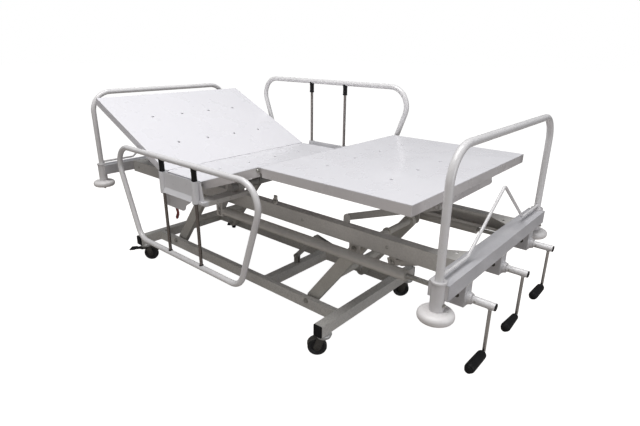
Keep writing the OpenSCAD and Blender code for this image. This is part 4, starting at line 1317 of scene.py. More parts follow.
@dataclass(frozen=True)
class RailPlates:
    """Folded plates, lips, end rings and welds of the bracket that carries one side rail.

    Flange and lip are drawn by their steps outwards and upwards, from the rail and from the cover.
    """

    side: str
    sign: float
    thick: float = 0.002
    flange: Profile = ((0.0010, 0.0130), (0.0014, 0.0075), (0.0034, 0.0040), (0.0080, -0.0040), (0.0146, -0.0150))
    flange_z: float = 0.020
    lip: Profile = (
        (0.0066, 0.002), (0.0066, 0.0165), (0.0072, 0.0192), (0.0088, 0.0206), (0.0108, 0.0202), (0.0190, 0.0140),
    )
    lip_run: Pair = (-0.0445, 0.1595)
    lap: float = 0.0015
    gusset_lap: float = 0.0035
    gusset_out: Pair = (0.010, 0.022)
    gusset_bend: float = 0.030
    gusset_y: float = 0.010
    gusset_thick: float = 0.003
    gusset_edge: float = 0.004
    ring_r: float = 0.0152
    ring_h: float = 0.0020
    weld_y: float = 0.0032
    weld_r: float = 0.0016
    arm_weld: float = 0.0018
    arm_reach: float = 0.0150
    arm_z: float = 0.020
    arm_y: float = 0.0165
    skirt_y: Pair = (0.0046, 0.0064)
    corner_x: float = 0.100
    corner_bend: float = 0.030

    def build(self) -> None:
        """Make the plates and rings."""
        self._panes()
        s = SIZES
        xa, xb = s.stems
        y = self.sign * s.side_y
        low, high = s.guide_z + 0.021, s.guide_z + s.guide_h - 0.002
        rings, welds = [], []
        for x, way in ((xa, 1.0), (xb, -1.0)):
            ring = ring_profile(self.ring_r, s.stem_r + 0.0002, -self.ring_h, 0.0, 0.0006)
            rings.append(placed(lathe(ring, 36), (x, y, s.guide_z)))
            inward = x + (s.guide_r - 0.0008) * way
            for weld_y in (y + self.sign * self.weld_y, y - self.sign * self.weld_y):
                welds.append(line_bead((inward, weld_y, low), (inward, weld_y, high), self.weld_r))
        arm_y, arm_z = self.sign * (s.side_y - self.arm_y), s.frame_top + self.arm_z
        for x in (xa, xb):
            run = (x - self.arm_reach, arm_y, arm_z), (x + self.arm_reach, arm_y, arm_z)
            welds.append(line_bead(*run, self.arm_weld))
        finish_piece(f"guide_end_rings_{self.side}", merged(rings), Slot.BLACK, "upper_frame")
        finish_piece(f"bracket_welds_{self.side}", merged(welds), Slot.BRACKET, "upper_frame")

    def _panes(self) -> None:
        """Make the folded flange, lip, gusset and skirt."""
        s = SIZES
        xa, xb = s.stems
        flange = [(self.sign * (s.side_y + out), s.guide_z + self.flange_z + up) for out, up in self.flange]
        lip = [(self.sign * (s.cover_y + out), s.frame_top + up) for out, up in self.lip]
        wall, (mid, far) = xb + s.guide_r, self.gusset_out
        high, low = s.guide_z + s.guide_h - self.gusset_edge, s.guide_z + self.gusset_edge
        gusset = [
            (wall - self.gusset_lap, high),
            (wall + mid, high),
            (wall + far, s.guide_z + self.gusset_bend),
            (wall + far, low),
            (wall - self.gusset_lap, low),
        ]
        inner_y = self.sign * (s.side_y - self.gusset_y)
        panes = [
            sheet(flange, self.thick, xa + s.guide_r - self.lap, xb - s.guide_r + self.lap),
            sheet(lip, self.thick, xa + self.lip_run[0], xa + self.lip_run[1]),
            plate(gusset, inner_y, inner_y + self.gusset_thick, 0.0006),
            self._skirt(),
        ]
        finish_piece(f"bracket_folds_{self.side}", merged(panes), Slot.BRACKET, "upper_frame")

    def _skirt(self) -> Mesh:
        """Pressed face of the cover with a rounded lower corner.

        Returns:
            The mesh, a little proud of the CAD cover.
        """
        s = SIZES
        xa = s.stems[0]
        top, low = s.frame_top + 0.0195, s.rail_bottom - 0.0005
        middle_x, middle_z, bend = xa + self.corner_x, low + self.corner_bend, self.corner_bend
        turns = (0.0, 0.3, 0.6, 0.9, 1.2, 1.5)
        outline = [
            (xa - 0.0452, top), (xa - 0.0452, s.frame_top - 0.014), (xa - 0.0425, low + 0.006), (xa - 0.0365, low),
            *((middle_x + bend * math.sin(a), middle_z - bend * math.cos(a)) for a in turns),
            (xa + 0.1345, s.frame_top - 0.022), (xa + 0.146, s.frame_top - 0.010),
            (xa + 0.1602, s.frame_top - 0.0045), (xa + 0.1602, top),
        ]
        y0, y1 = sorted(self.sign * (s.cover_y + out) for out in self.skirt_y)
        return plate(outline, y0, y1, 0.0008)


@dataclass(frozen=True)
class LatchHandle:
    """Curved release handle of one side rail, drawn by its steps from the pin."""

    side: str
    sign: float
    pin_x: float = 0.038
    pin_z: float = 0.012
    thick: float = 0.006
    eye_r: float = 0.0109
    curve: Profile = (
        (0.0, 0.0), (0.001, -0.012), (0.004, -0.024), (0.008, -0.034), (0.007, -0.044), (0.001, -0.054),
        (-0.004, -0.062),
    )
    widths: tuple[float, ...] = (0.0098, 0.0092, 0.0082, 0.0078, 0.0078, 0.0080, 0.0076)
    rib_bend: float = 0.003
    rib_r: float = 0.0016
    head: Head = (0.0085, 0.0026, 0.0008)
    head_y: float = 0.0126

    def build(self) -> None:
        """Make the handle in place of its CAD node, with its pin head."""
        s = SIZES
        x, z = s.stems[0] + self.pin_x, s.rail_bottom + self.pin_z
        path = [(x + along, z + up) for along, up in self.curve]
        face = s.cover_y - 0.0003
        near, far = sorted((self.sign * face, self.sign * (face - self.thick)))
        rib_path = rounded(
            [(px, self.sign * (face - 0.0004), pz) for px, pz in path[1:]],
            [self.rib_bend] * (len(path) - 1),
            steps=3,
        )
        parts = [
            plate(ribbon_outline(path, self.widths), near + 0.0002, far - 0.0002, 0.0014),
            plate(hull_outline([(x, z, self.eye_r)], 32), near, far, 0.0012),
            tube(rib_path, self.rib_r, around=10),
        ]
        name = f"rail_latch_{self.side}"
        finish_piece(f"curved_{name}", merged(parts), Slot.LATCH, f"latch_{self.side}", [name])
        at = (x, self.sign * (s.cover_y - self.head_y), z)
        head = placed(dome_head(*self.head), at, Axis.outward(-self.sign))
        finish_piece(f"latch_pin_head_{self.side}", head, Slot.ZINC, "upper_frame")


# Deck


@dataclass(frozen=True)
class VentRow:
    """Pressed collars under the round vent holes of one deck panel."""

    panel: str
    body: str
    x: float
    z: float
    tilt: float
    along: tuple[float, ...]
    across: tuple[float, ...] = (-1.5, -0.5, 0.5, 1.5)
    pitch: float = 0.174
    hole_r: float = 0.0075
    top: float = 0.0120
    sheet: float = 0.002
    depth: float = 0.0085

    def build(self) -> None:
        """Make the collars as one piece that rides with the panel."""
        turn = Matrix.Rotation(self.tilt, 4, "Y")
        r, top, low, under = self.hole_r, self.top, self.top - self.depth, self.top - self.sheet
        rows = [
            (r - 0.0016, low), (r - 0.0004, low), (r + 0.0006, under - 0.003), (r + 0.0030, under - 0.0004),
            (r + 0.0030, under - 0.0001), (r - 0.0001, under - 0.0001), (r - 0.0002, top - 0.0003),
            (r - 0.0010, top - 0.0012), (r - 0.0014, under - 0.003), (r - 0.0016, low),
        ]
        rings = []
        for x in self.along:
            for share in self.across:
                spot = turn @ Vector((x, share * self.pitch, 0.0)) + Vector((self.x, 0.0, self.z))
                rings.append(placed(lathe(rows, 28), spot, turn))
        finish_piece(f"vent_collars_{self.panel}", merged(rings), Slot.DECK, self.body)


@dataclass(frozen=True)
class HingeEnds:
    """Washers and cap nuts on the ends of one deck hinge rod."""

    key: str
    x: float
    z: float
    body: str
    washer: Point = (0.0098, 0.0055, 0.0013)
    cap: Head = (0.0064, 0.0042, 0.0008)
    cap_out: float = 0.0046

    def build(self) -> None:
        """Make both ends."""
        parts = []
        for sign in SIGNS:
            for part, half in (
                (washer(*self.washer), SIZES.deck_half),
                (dome_head(*self.cap), SIZES.deck_half + self.cap_out),
            ):
                parts.append(placed(part, (self.x, sign * half, self.z), Axis.outward(sign)))
        finish_piece(f"hinge_caps_{self.key}", merged(parts), Slot.ZINC, self.body)


@dataclass(frozen=True)
class BackLip:
    """Rolled lip of the back panel over its hinge sleeve, between the hinge lugs."""

    radius: float = 0.01105
    thick: float = 0.0016
    half: float = 0.436
    start: float = math.radians(134.0)
    end: float = math.radians(58.0)
    steps: int = 14

    def build(self) -> None:
        """Make the lip."""
        s = SIZES
        turns = (self.start + (self.end - self.start) * i / self.steps for i in range(self.steps + 1))
        path = [(self.radius * math.cos(a), self.radius * math.sin(a)) for a in turns]
        lip = plate(ribbon_outline(path, [self.thick / 2] * len(path)), -self.half, self.half, 0.0003)
        lip = placed(lip, (s.back_x, 0.0, s.hinge_z), Matrix.Rotation(s.back_tilt, 4, "Y"))
        finish_piece("back_hinge_lip", lip, Slot.DECK, "back_section")


@dataclass(frozen=True)
class PanelSeam:
    """Spot-welded corner seams on the free end of one raised panel."""

    key: str
    x: float
    z: float
    tilt: float
    length: float
    inset: float = 0.0004
    radius: float = 0.0006

    def build(self) -> None:
        """Make both corner seams."""
        s = SIZES
        end = self.length - math.copysign(self.inset, self.length)
        high, low = s.hinge_drop - 0.0015, s.hinge_drop - s.pan_h + 0.001
        seams = []
        for sign in SIGNS:
            y = sign * (s.deck_half - self.inset)
            seam = line_bead((end, y, high), (end, y, low), self.radius)
            seams.append(placed(seam, (self.x, 0.0, self.z), Matrix.Rotation(self.tilt, 4, "Y")))
        finish_piece(f"corner_seams_{self.key}", merged(seams), Slot.DECK, f"{self.key}_section")


# Frame and base


@dataclass(frozen=True)
class Bumper:
    """Domed corner disc with a stepped rim, and the washer and nut under it.

    The two halves of its rim are drawn as radius and height, over the underside and over the top.
    """

    key: str
    x: float
    y: float
    bore: float = 0.0081
    top: float = 0.46704
    deep: float = 0.0327
    nut: Nut = (0.013, 0.0065, 0.004, 0.003)
    nut_drop: float = 0.0050
    under: Profile = (
        (0.040, 0.0), (0.046, 0.0012), (0.0505, 0.0042), (0.0535, 0.0085), (0.0547, 0.0125), (0.0549, 0.016),
    )
    over: Profile = (
        (0.0547, -0.0135), (0.0535, -0.0095), (0.0505, -0.0056), (0.046, -0.0028), (0.040, -0.0012),
        (0.033, -0.0004), (0.0318, -0.0010), (0.0306, -0.0004), (0.026, -0.0001),
    )

    def build(self) -> None:
        """Make the disc in place of its plain solid."""
        foot = (self.bore, -self.deep)
        rows = [foot, *((r, up - self.deep) for r, up in self.under), *self.over, (self.bore, 0.0), foot]
        name = f"bumper_{self.key}"
        disc = placed(lathe(rows, 72), (self.x, self.y, self.top))
        finish_piece(f"domed_{name}", disc, Slot.DISC, name, [name], 40.0)
        at = (self.x, self.y, self.top - self.deep - self.nut_drop)
        nut = placed(bolt_end(*self.nut), at, Axis.BACK_Z)
        finish_piece(f"bumper_nut_{self.key}", nut, Slot.ZINC, "upper_frame")


@dataclass(frozen=True)
class SocketDress:
    """Rolled collar, clamp screw and welds of the four post sockets."""

    collar_up: float = 0.0066
    collar_out: float = 0.0024
    screw: Nut = (0.010, 0.005, 0.003, 0.002)
    screw_drop: float = 0.016
    sink: float = 0.0022
    weld_r: float = 0.0014
    foot_weld_r: float = 0.0019

    def build(self) -> None:
        """Make the dress of all sockets."""
        s = SIZES
        collars, screws, welds = [], [], []
        low = s.frame_top - s.cross_h
        depth = math.sqrt(s.socket_r**2 - (s.socket_r - self.sink) ** 2)
        for x, out in ((s.head_x, -1.0), (s.foot_x, 1.0)):
            for sign in SIGNS:
                collars.append(placed(lathe(self._collar(), 48), (x, sign * s.post_y, 0.0)))
                spot = (x + out * (s.socket_r - 0.0006), sign * s.post_y, low - self.screw_drop)
                turn = Axis.X if out > 0 else Axis.BACK_X
                screws.append(placed(bolt_end(*self.screw), spot, turn))
                inner = sign * (s.post_y - depth - 0.0006)
                for side in SIGNS:
                    edge = x + side * (s.socket_r - self.sink)
                    run = (edge, inner, low + 0.001), (edge, inner, s.frame_top - 0.001)
                    welds.append(line_bead(*run, self.weld_r))
                turns = (math.pi * k / 16 for k in range(17))
                around = ((s.socket_r * math.cos(a), s.socket_r * math.sin(a)) for a in turns)
                arc = [Vector((x + dx, sign * (s.post_y - dy), low - 0.0004)) for dx, dy in around]
                welds.append(bead(arc, self.foot_weld_r))
        finish_piece("socket_collars", merged(collars), Slot.SOCKET, "upper_frame")
        finish_piece("socket_screws", merged(screws), Slot.ZINC, "upper_frame")
        finish_piece("socket_welds", merged(welds), Slot.SOCKET, "upper_frame")

    def _collar(self) -> Profile:
        """Profile of the rolled collar round the post.

        Returns:
            Radius and height pairs.
        """
        r, post, top = SIZES.socket_r, SIZES.tube_r, SIZES.frame_top
        high, out = top + self.collar_up, r + self.collar_out
        return [
            (post + 0.0003, high), (post + 0.0030, top - 0.0002), (r + 0.0012, top - 0.0002), (out, top + 0.0012),
            (out, top + 0.0052), (r + 0.0012, high), (post + 0.0003, high),
        ]


@dataclass(frozen=True)
class FrameDress:
    """Welds, bolts and plugs of the upper frame."""

    half_up: float = 0.030
    bearer_run: float = 0.262
    bearer_shares: Pair = (0.16, 0.72)
    bearer_half: Pair = (0.015, 0.0025)
    bearer_drop: float = 0.032
    bearer_weld: float = 0.0014
    lug_half: float = 0.024
    lug_high: float = 0.030
    lug_out: float = 0.006
    lug_weld: float = 0.0012
    lug_foot_y: float = 0.0066
    lug_foot_weld: float = 0.0016
    cross_weld: float = 0.0018
    leg_nut: Nut = (0.017, 0.006, 0.0052, 0.002)
    leg_head: Head = (0.0102, 0.0034, 0.0012)
    side_head: Head = (0.0062, 0.0030, 0.0010)
    end_bolt_in: float = 0.055
    side_bolts: tuple[float, ...] = (-0.640, -0.420, 0.300, 0.700)
    post_x: float = 0.1425
    post_size: Point = (0.018, 0.0082, 0.040)
    post_soft: float = 0.0028
    post_in: float = 0.0049
    post_z: float = 0.0196
    post_nut: Nut = (0.013, 0.0055, 0.004, 0.002)
    post_nut_z: float = 0.0145
    closer_lap: float = 0.0015
    closer_thick: float = 0.0016
    housing_half: float = 0.025
    flange: Profile = (
        (0.0086, 0.0), (0.0236, 0.0), (0.0236, 0.0022), (0.0212, 0.0034), (0.0178, 0.0128), (0.0176, 0.0150),
        (0.0150, 0.0152), (0.0086, 0.0152), (0.0086, 0.0),
    )
    # Painted shade: a thin dark disc on each housing side stands for the shade seen through a side opening.
    hole_shade_disc: Point = (0.0085, 0.0005, 0.0005)
    hole_shade_disc_x: float = 0.006
    side_bolt: Nut = (0.011, 0.0045, 0.003, 0.001)
    side_bolt_x: float = 0.015

    def build(self) -> None:
        """Make the pieces of the upper frame."""
        finish_piece("frame_welds", merged(self._welds()), Slot.FRAME, "upper_frame")
        finish_piece("cross_member_closers", merged(self._closers()), Slot.SOCKET, "upper_frame")
        finish_piece("frame_bolts", merged(self._bolts()), Slot.ZINC, "upper_frame")
        self._housings()

    def _leg_xs(self) -> Pair:
        """Places of the upper leg pivots along the bed."""
        return SIZES.leg_head_x + SIZES.leg_run, SIZES.leg_foot_x + SIZES.leg_run

    def _welds(self) -> list[Mesh]:
        """Welds of the cross members, the bearers and the leg lugs.

        Returns:
            Their meshes.
        """
        s = SIZES
        welds = []
        for x in (s.head_x + s.cross_w / 2 + 0.0004, s.foot_x - s.cross_w / 2 - 0.0004):
            for sign in SIGNS:
                at = (x, sign * (s.rail_out - s.rail_w / 2), s.frame_top - self.half_up)
                half_a, half_b = Vector((0.0, s.rail_w / 2, 0.0)), Vector((0.0, 0.0, self.half_up))
                welds.append(frame_bead(at, half_a, half_b, self.cross_weld))
        half_x, half_y = self.bearer_half
        for share in self.bearer_shares:
            x = s.back_x + self.bearer_run * share
            for sign in SIGNS:
                for y in (s.rail_out - s.rail_w + half_y, s.rail_out - half_y):
                    for z in (s.frame_top + 0.0004, s.hinge_z - self.bearer_drop):
                        half_a, half_b = Vector((half_x, 0.0, 0.0)), Vector((0.0, half_y, 0.0))
                        welds.append(frame_bead((x, sign * y, z), half_a, half_b, self.bearer_weld))
        for x in self._leg_xs():
            for sign in SIGNS:
                inner, low = sign * (s.rail_out - s.rail_w), s.rail_bottom
                for side in (x - self.lug_half, x + self.lug_half):
                    welds.append(line_bead((side, inner, low - self.lug_high), (side, inner, low), self.lug_weld))
                run = [(x + half, inner + sign * self.lug_foot_y, low) for half in (-self.lug_half, self.lug_half)]
                welds.append(line_bead(*run, self.lug_foot_weld))
        return welds

    def _bolts(self) -> list[Mesh]:
        """Bolts of the leg lugs, of the cross members and of the deck stops.

        Returns:
            Their meshes.
        """
        s = SIZES
        bolts = []
        for x in self._leg_xs():
            for sign in SIGNS:
                at = (x, sign * (s.rail_out - s.rail_w) + sign * self.lug_out, s.upper_z)
                bolts.append(placed(bolt_end(*self.leg_nut), at, Axis.outward(sign)))
                at = (x, sign * (s.leg_in - 0.0004), s.upper_z)
                bolts.append(placed(dome_head(*self.leg_head), at, Axis.outward(-sign)))
        first, last = s.head_x + s.cross_w / 2 + self.end_bolt_in, s.foot_x - s.cross_w / 2 - self.end_bolt_in
        for x in (first, *self.side_bolts, last):
            for sign in SIGNS:
                at = (x, sign * s.rail_out, s.frame_top - self.half_up)
                bolts.append(placed(dome_head(*self.side_head), at, Axis.outward(sign)))
        for sign in SIGNS:
            at = (self.post_x, sign * s.rail_out, s.frame_top + self.post_nut_z)
            bolts.append(placed(bolt_end(*self.post_nut), at, Axis.outward(sign)))
            at = (self.post_x, sign * (s.rail_out - self.post_in), s.frame_top + self.post_z)
            bolts.append(placed(block(self.post_size, self.post_soft), at))
        return bolts

    def _closers(self) -> list[Mesh]:
        """Narrow end plates that close the cross members beside the sockets.

        Returns:
            Their meshes.
        """
        s = SIZES
        closers = []
        _, far_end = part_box("frame_cross_members")
        width = s.cross_w / 2 - s.socket_r + self.closer_lap
        size = (width, self.closer_thick, s.cross_h - 0.0012)
        for x in (s.head_x, s.foot_x):
            for sign in SIGNS:
                for side in SIGNS:
                    spot_x = x + side * (s.cross_w / 2 - 0.0006 - width / 2)
                    spot = (spot_x, sign * (far_end[1] - 0.0012), s.frame_top - s.cross_h / 2)
                    closers.append(placed(block(size, 0.0004, 1), spot))
        return closers

    def _housings(self) -> None:
        """Make the collars, welds and side bolts of the three crank housings, and dark discs on their sides as
        painted shade for the side openings.
        """
        s = SIZES
        flanges, welds, holes, bolts = [], [], [], []
        front, back, half = s.foot_x + s.cross_w / 2, s.foot_x - s.cross_w / 2, self.housing_half
        low, high = s.crank_z - half, s.frame_top - s.cross_h
        for y in (-s.crank_y, 0.0, s.crank_y):
            flanges.append(placed(lathe(self.flange, 40), (front - SKIN, y, s.crank_z), Axis.X))
            for x in (back + 0.0003, front - 0.0003):
                welds.append(line_bead((x, y - half, high), (x, y + half, high), self.lug_foot_weld))
            for side in (-half, half):
                welds.append(line_bead((back, y + side, high), (front, y + side, high), self.cross_weld))
            for sign in SIGNS:
                side_y, middle = y + sign * half, (low + high) / 2
                # Painted shade disc where a side opening is.
                at = (s.foot_x + self.hole_shade_disc_x, side_y, middle)
                holes.append(placed(washer(*self.hole_shade_disc), at, Axis.outward(sign)))
                at = (s.foot_x - self.side_bolt_x, side_y, middle)
                bolts.append(placed(bolt_end(*self.side_bolt), at, Axis.outward(sign)))
        finish_piece("housing_collars", merged(flanges), Slot.SOCKET, "upper_frame")
        finish_piece("housing_welds", merged(welds), Slot.FRAME, "upper_frame")
        finish_piece("housing_side_hole_shade_discs", merged(holes), Slot.FORK, "upper_frame")
        finish_piece("housing_side_bolts", merged(bolts), Slot.ZINC, "upper_frame")


@dataclass(frozen=True)
class BaseDress:
    """Welds, cap nuts and end plugs of the base, and the welds of the height legs."""

    half_up: float = 0.025
    weld_r: float = 0.0019
    lug_y: float = 0.0083
    lug_half: Pair = (0.011, 0.003)
    lug_weld: float = 0.0015
    pivot_nut: Nut = (0.0165, 0.0072, 0.0054, 0.003)
    pivot_head: Head = (0.0098, 0.0032, 0.0010)
    pivot_head_in: float = 0.0061
    brace_along: float = 0.16
    leg_lean: float = math.radians(37.5)
    brace_weld: Pair = (0.0193, 0.0022)
    pivot_weld: Pair = (0.0143, 0.002)
    plug_size: float = 0.008
    plug_out: float = 0.0041
    pad_size: float = 0.0010
    pad_out: float = 0.0079
    pad_in: float = 0.014

    def build(self) -> None:
        """Make the pieces of the base and the legs."""
        finish_piece("base_welds", merged(self._welds()), Slot.BASE, "base")
        finish_piece("base_bolt_dress", merged(self._bolts()), Slot.ZINC, "base")
        self._plugs()
        for key, x in (("head", SIZES.leg_head_x), ("foot", SIZES.leg_foot_x)):
            finish_piece(f"leg_welds_{key}", merged(self._leg_welds(key, x)), Slot.LEG, f"legs_{key}")

    def _welds(self) -> list[Mesh]:
        """Welds of the base tubes and of the lift lugs.

        Returns:
            Their meshes.
        """
        s = SIZES
        welds = []
        mid_z, half_z = (s.base_low + s.base_top) / 2, Vector((0.0, 0.0, self.half_up))
        for x in (s.head_tube_x + s.base_w / 2 + 0.0004, s.foot_tube_x - s.base_w / 2 - 0.0004):
            for sign in SIGNS:
                half_y = Vector((0.0, s.side_w / 2, 0.0))
                welds.append(frame_bead((x, sign * s.base_rail_y, mid_z), half_y, half_z, self.weld_r))
        for sign in SIGNS:
            at = (s.clevis_x, sign * (s.base_rail_y - s.side_w / 2 - 0.0004), mid_z)
            welds.append(frame_bead(at, Vector((s.base_w / 2, 0.0, 0.0)), half_z, self.weld_r))
            lug = (s.clevis_x, sign * self.lug_y, s.base_top + 0.0003)
            lug_x, lug_y = self.lug_half
            welds.append(frame_bead(lug, Vector((lug_x, 0.0, 0.0)), Vector((0.0, lug_y, 0.0)), self.lug_weld))
        return welds

    def _bolts(self) -> list[Mesh]:
        """Nuts and bolt heads of the lower leg pivots.

        Returns:
            Their meshes.
        """
        s = SIZES
        bolts = []
        for sign in SIGNS:
            for x in (s.leg_head_x, s.leg_foot_x):
                at = (x, sign * (s.base_rail_y + s.side_w / 2), s.lower_z)
                bolts.append(placed(bolt_end(*self.pivot_nut), at, Axis.outward(sign)))
                at = (x, sign * (s.leg_in - self.pivot_head_in), s.lower_z)
                bolts.append(placed(dome_head(*self.pivot_head), at, Axis.outward(-sign)))
        return bolts

    def _leg_welds(self, key: str, x: float) -> list[Mesh]:
        """Welds round the brace of one pair of legs, and round the upper pivot of the foot pair.

        Args:
            key: End of the bed.
            x: Place of the lower pivot.

        Returns:
            Their meshes.
        """
        s = SIZES
        lean, along = self.leg_lean, self.brace_along
        spots = [(x + along * math.sin(lean), s.lower_z + along * math.cos(lean), self.brace_weld)]
        if key == "foot":
            spots.append((x + s.leg_run, s.upper_z, self.pivot_weld))
        inner = s.leg_in - 0.0006
        return [ring_bead((at_x, sign * inner, at_z), Axis.Y, *weld) for at_x, at_z, weld in spots for sign in SIGNS]

    def _plugs(self) -> None:
        """Make the moulded end plugs in place of their CAD node."""
        s = SIZES
        high, middle = s.base_top - s.base_low, (s.base_low + s.base_top) / 2
        parts = []
        for x in (s.head_tube_x, s.foot_tube_x):
            for sign in SIGNS:
                cap = block((s.base_w, self.plug_size, high), 0.0024)
                parts.append(placed(cap, (x, sign * (s.base_half + self.plug_out), middle)))
                pad = block((s.base_w - self.pad_in, self.pad_size, high - self.pad_in), 0.0004, 1)
                parts.append(placed(pad, (x, sign * (s.base_half + self.pad_out), middle)))
        finish_piece("moulded_end_plugs", merged(parts), Slot.BLACK, "base", ["base_end_caps"])


# Cranks and casters


@dataclass(frozen=True)
class CrankSet:
    """Hub tube with its plug and weld, bent arm and tapered grip of one crank.

    The plug is drawn inwards from the hub's outer end.
    """

    name: str
    y: float
    with_screw: bool
    fat_end: bool = False
    shank_r: float = 0.0080
    plug: Profile = (
        (0.0, -0.008), (0.0099, -0.008), (0.0100, -0.0028), (0.0119, -0.0028), (0.0121, -0.0018), (0.0112, -0.0006),
        (0.0085, 0.0), (0.0, 0.0),
    )
    pin_x: float = 0.012
    pin: Head = (0.0034, 0.0016, 0.0004)
    screw: Point = (0.0089, 0.005, 0.0012)
    boss_weld: float = 0.0015
    arm_bend: float = 0.0095
    collar: Head = (0.0074, 0.0014, 0.0034)
    collar_y: float = 0.0066
    tip_y: float = 0.0058
    cap: Head = (0.0118, 0.0040, 0.0012)
    cap_in: float = 0.0050
    grip_y: float = 0.0108
    grip_bore: float = 0.0056
    grip_wide: float = 0.0164
    grip_thin: float = 0.0146
    lift_grip_thin: float = 0.0122
    grip_steps: int = 26
    grip_lip: float = 0.0036
    grip_round: Point = (0.0062, 0.013, 0.0127)
    grip_turns: tuple[float, ...] = (0.3, 0.6, 0.9, 1.2, 1.45)
    ripple: float = 0.00035

    def build(self) -> None:
        """Make the hub, arm and grip in place of their CAD nodes."""
        self._hub()
        self._arm()
        self._grip()

    def _hub(self) -> None:
        """Make the hub tube, its shank, plug, pin and screw."""
        s = SIZES
        r, end, inner = s.tube_r, s.hub_end, s.foot_x - s.cross_w / 2
        body = f"crank_{self.name}"
        rows = [
            (0.0, inner - 0.0003), (self.shank_r, inner - 0.0003), (self.shank_r, s.hub_x), (r - 0.0012, s.hub_x),
            (r - SKIN, s.hub_x + 0.0011), (r - SKIN, end - 0.0034), (r - 0.0008, end - 0.0026),
            (r - 0.0023, end - 0.0026), (r - 0.0024, end - 0.008), (0.0, end - 0.008),
        ]
        hub = placed(lathe(rows, 40), (0.0, self.y, s.crank_z), Axis.X)
        boss = ring_bead((s.arm_x, self.y, s.crank_z - r + 0.0004), Axis.Z, s.arm_r + 0.0008, self.boss_weld)
        finish_piece(f"turned_hub_{self.name}", merged([hub, boss]), Slot.BOW, body, [f"crank_hub_{self.name}"])
        plug = placed(lathe(self.plug, 36), (end - SKIN, self.y, s.crank_z), Axis.X)
        finish_piece(f"hub_plug_{self.name}", plug, Slot.BLACK, body)
        parts = []
        for sign in SIGNS:
            at = (s.hub_x + self.pin_x, self.y + sign * (r - 0.0004), s.crank_z)
            parts.append(placed(dome_head(*self.pin), at, Axis.outward(sign)))
        if self.with_screw:
            screw = thread(s.screw_len - 0.0003, *self.screw)
            parts.append(placed(screw, (inner - s.screw_len, self.y, s.crank_z), Axis.X))
        finish_piece(f"hub_pin_and_screw_{self.name}", merged(parts), Slot.ZINC, body)

    def _arm(self) -> None:
        """Make the bent arm with its collar and the black cap of its end."""
        s = SIZES
        x, low = s.arm_x, s.crank_z - s.arm_len
        tip = self.y - s.grip_len - 2 * s.arm_r - self.tip_y
        corners = [(x, self.y, s.crank_z - s.tube_r + 0.004), (x, self.y, low), (x, tip + 0.0022, low)]
        rod = tube(rounded(corners, [0.0, self.arm_bend, 0.0], steps=12), s.arm_r - SKIN, around=28)
        collar = placed(dome_head(*self.collar), (x, self.y - self.collar_y, low), Axis.BACK_Y)
        body = f"crank_{self.name}"
        finish_piece(f"bent_arm_{self.name}", merged([rod, collar]), Slot.CHROME, body, [f"crank_arm_{self.name}"])
        cap = placed(dome_head(*self.cap), (x, tip + self.cap_in, low), Axis.BACK_Y)
        finish_piece(f"grip_end_cap_{self.name}", cap, Slot.BLACK, body)

    def _grip(self) -> None:
        """Make the grip, a little waisted, with a softly rounded outer end."""
        s = SIZES
        bore, wide, lip, length = self.grip_bore, self.grip_wide, self.grip_lip, s.grip_len
        thin, swell = (self.lift_grip_thin, 1.0) if self.fat_end else (self.grip_thin, 0.5)
        rows = [(bore, 0.0), (thin - 0.003, 0.0), (thin - 0.0008, 0.0012), (thin, lip)]
        curl, start, reach = self.grip_round
        for i in range(1, self.grip_steps + 1):
            share = i / self.grip_steps
            r = thin + (wide - thin) * share**swell
            rows.append((r - (self.ripple if i % 2 else 0.0), lip + share * (length - start - lip)))
        for a in self.grip_turns:
            rows.append((wide - curl + curl * math.cos(a), length - start + reach * math.sin(a)))
        rows += [(bore + 0.0012, length), (bore, length - 0.001), (bore, 0.0)]
        grip = placed(lathe(rows, 44), (s.arm_x, self.y - self.grip_y, s.crank_z - s.arm_len), Axis.BACK_Y)
        names = [f"crank_grip_{self.name}"]
        finish_piece(f"moulded_grip_{self.name}", grip, Slot.BLACK, f"grip_{self.name}", names, 50.0)


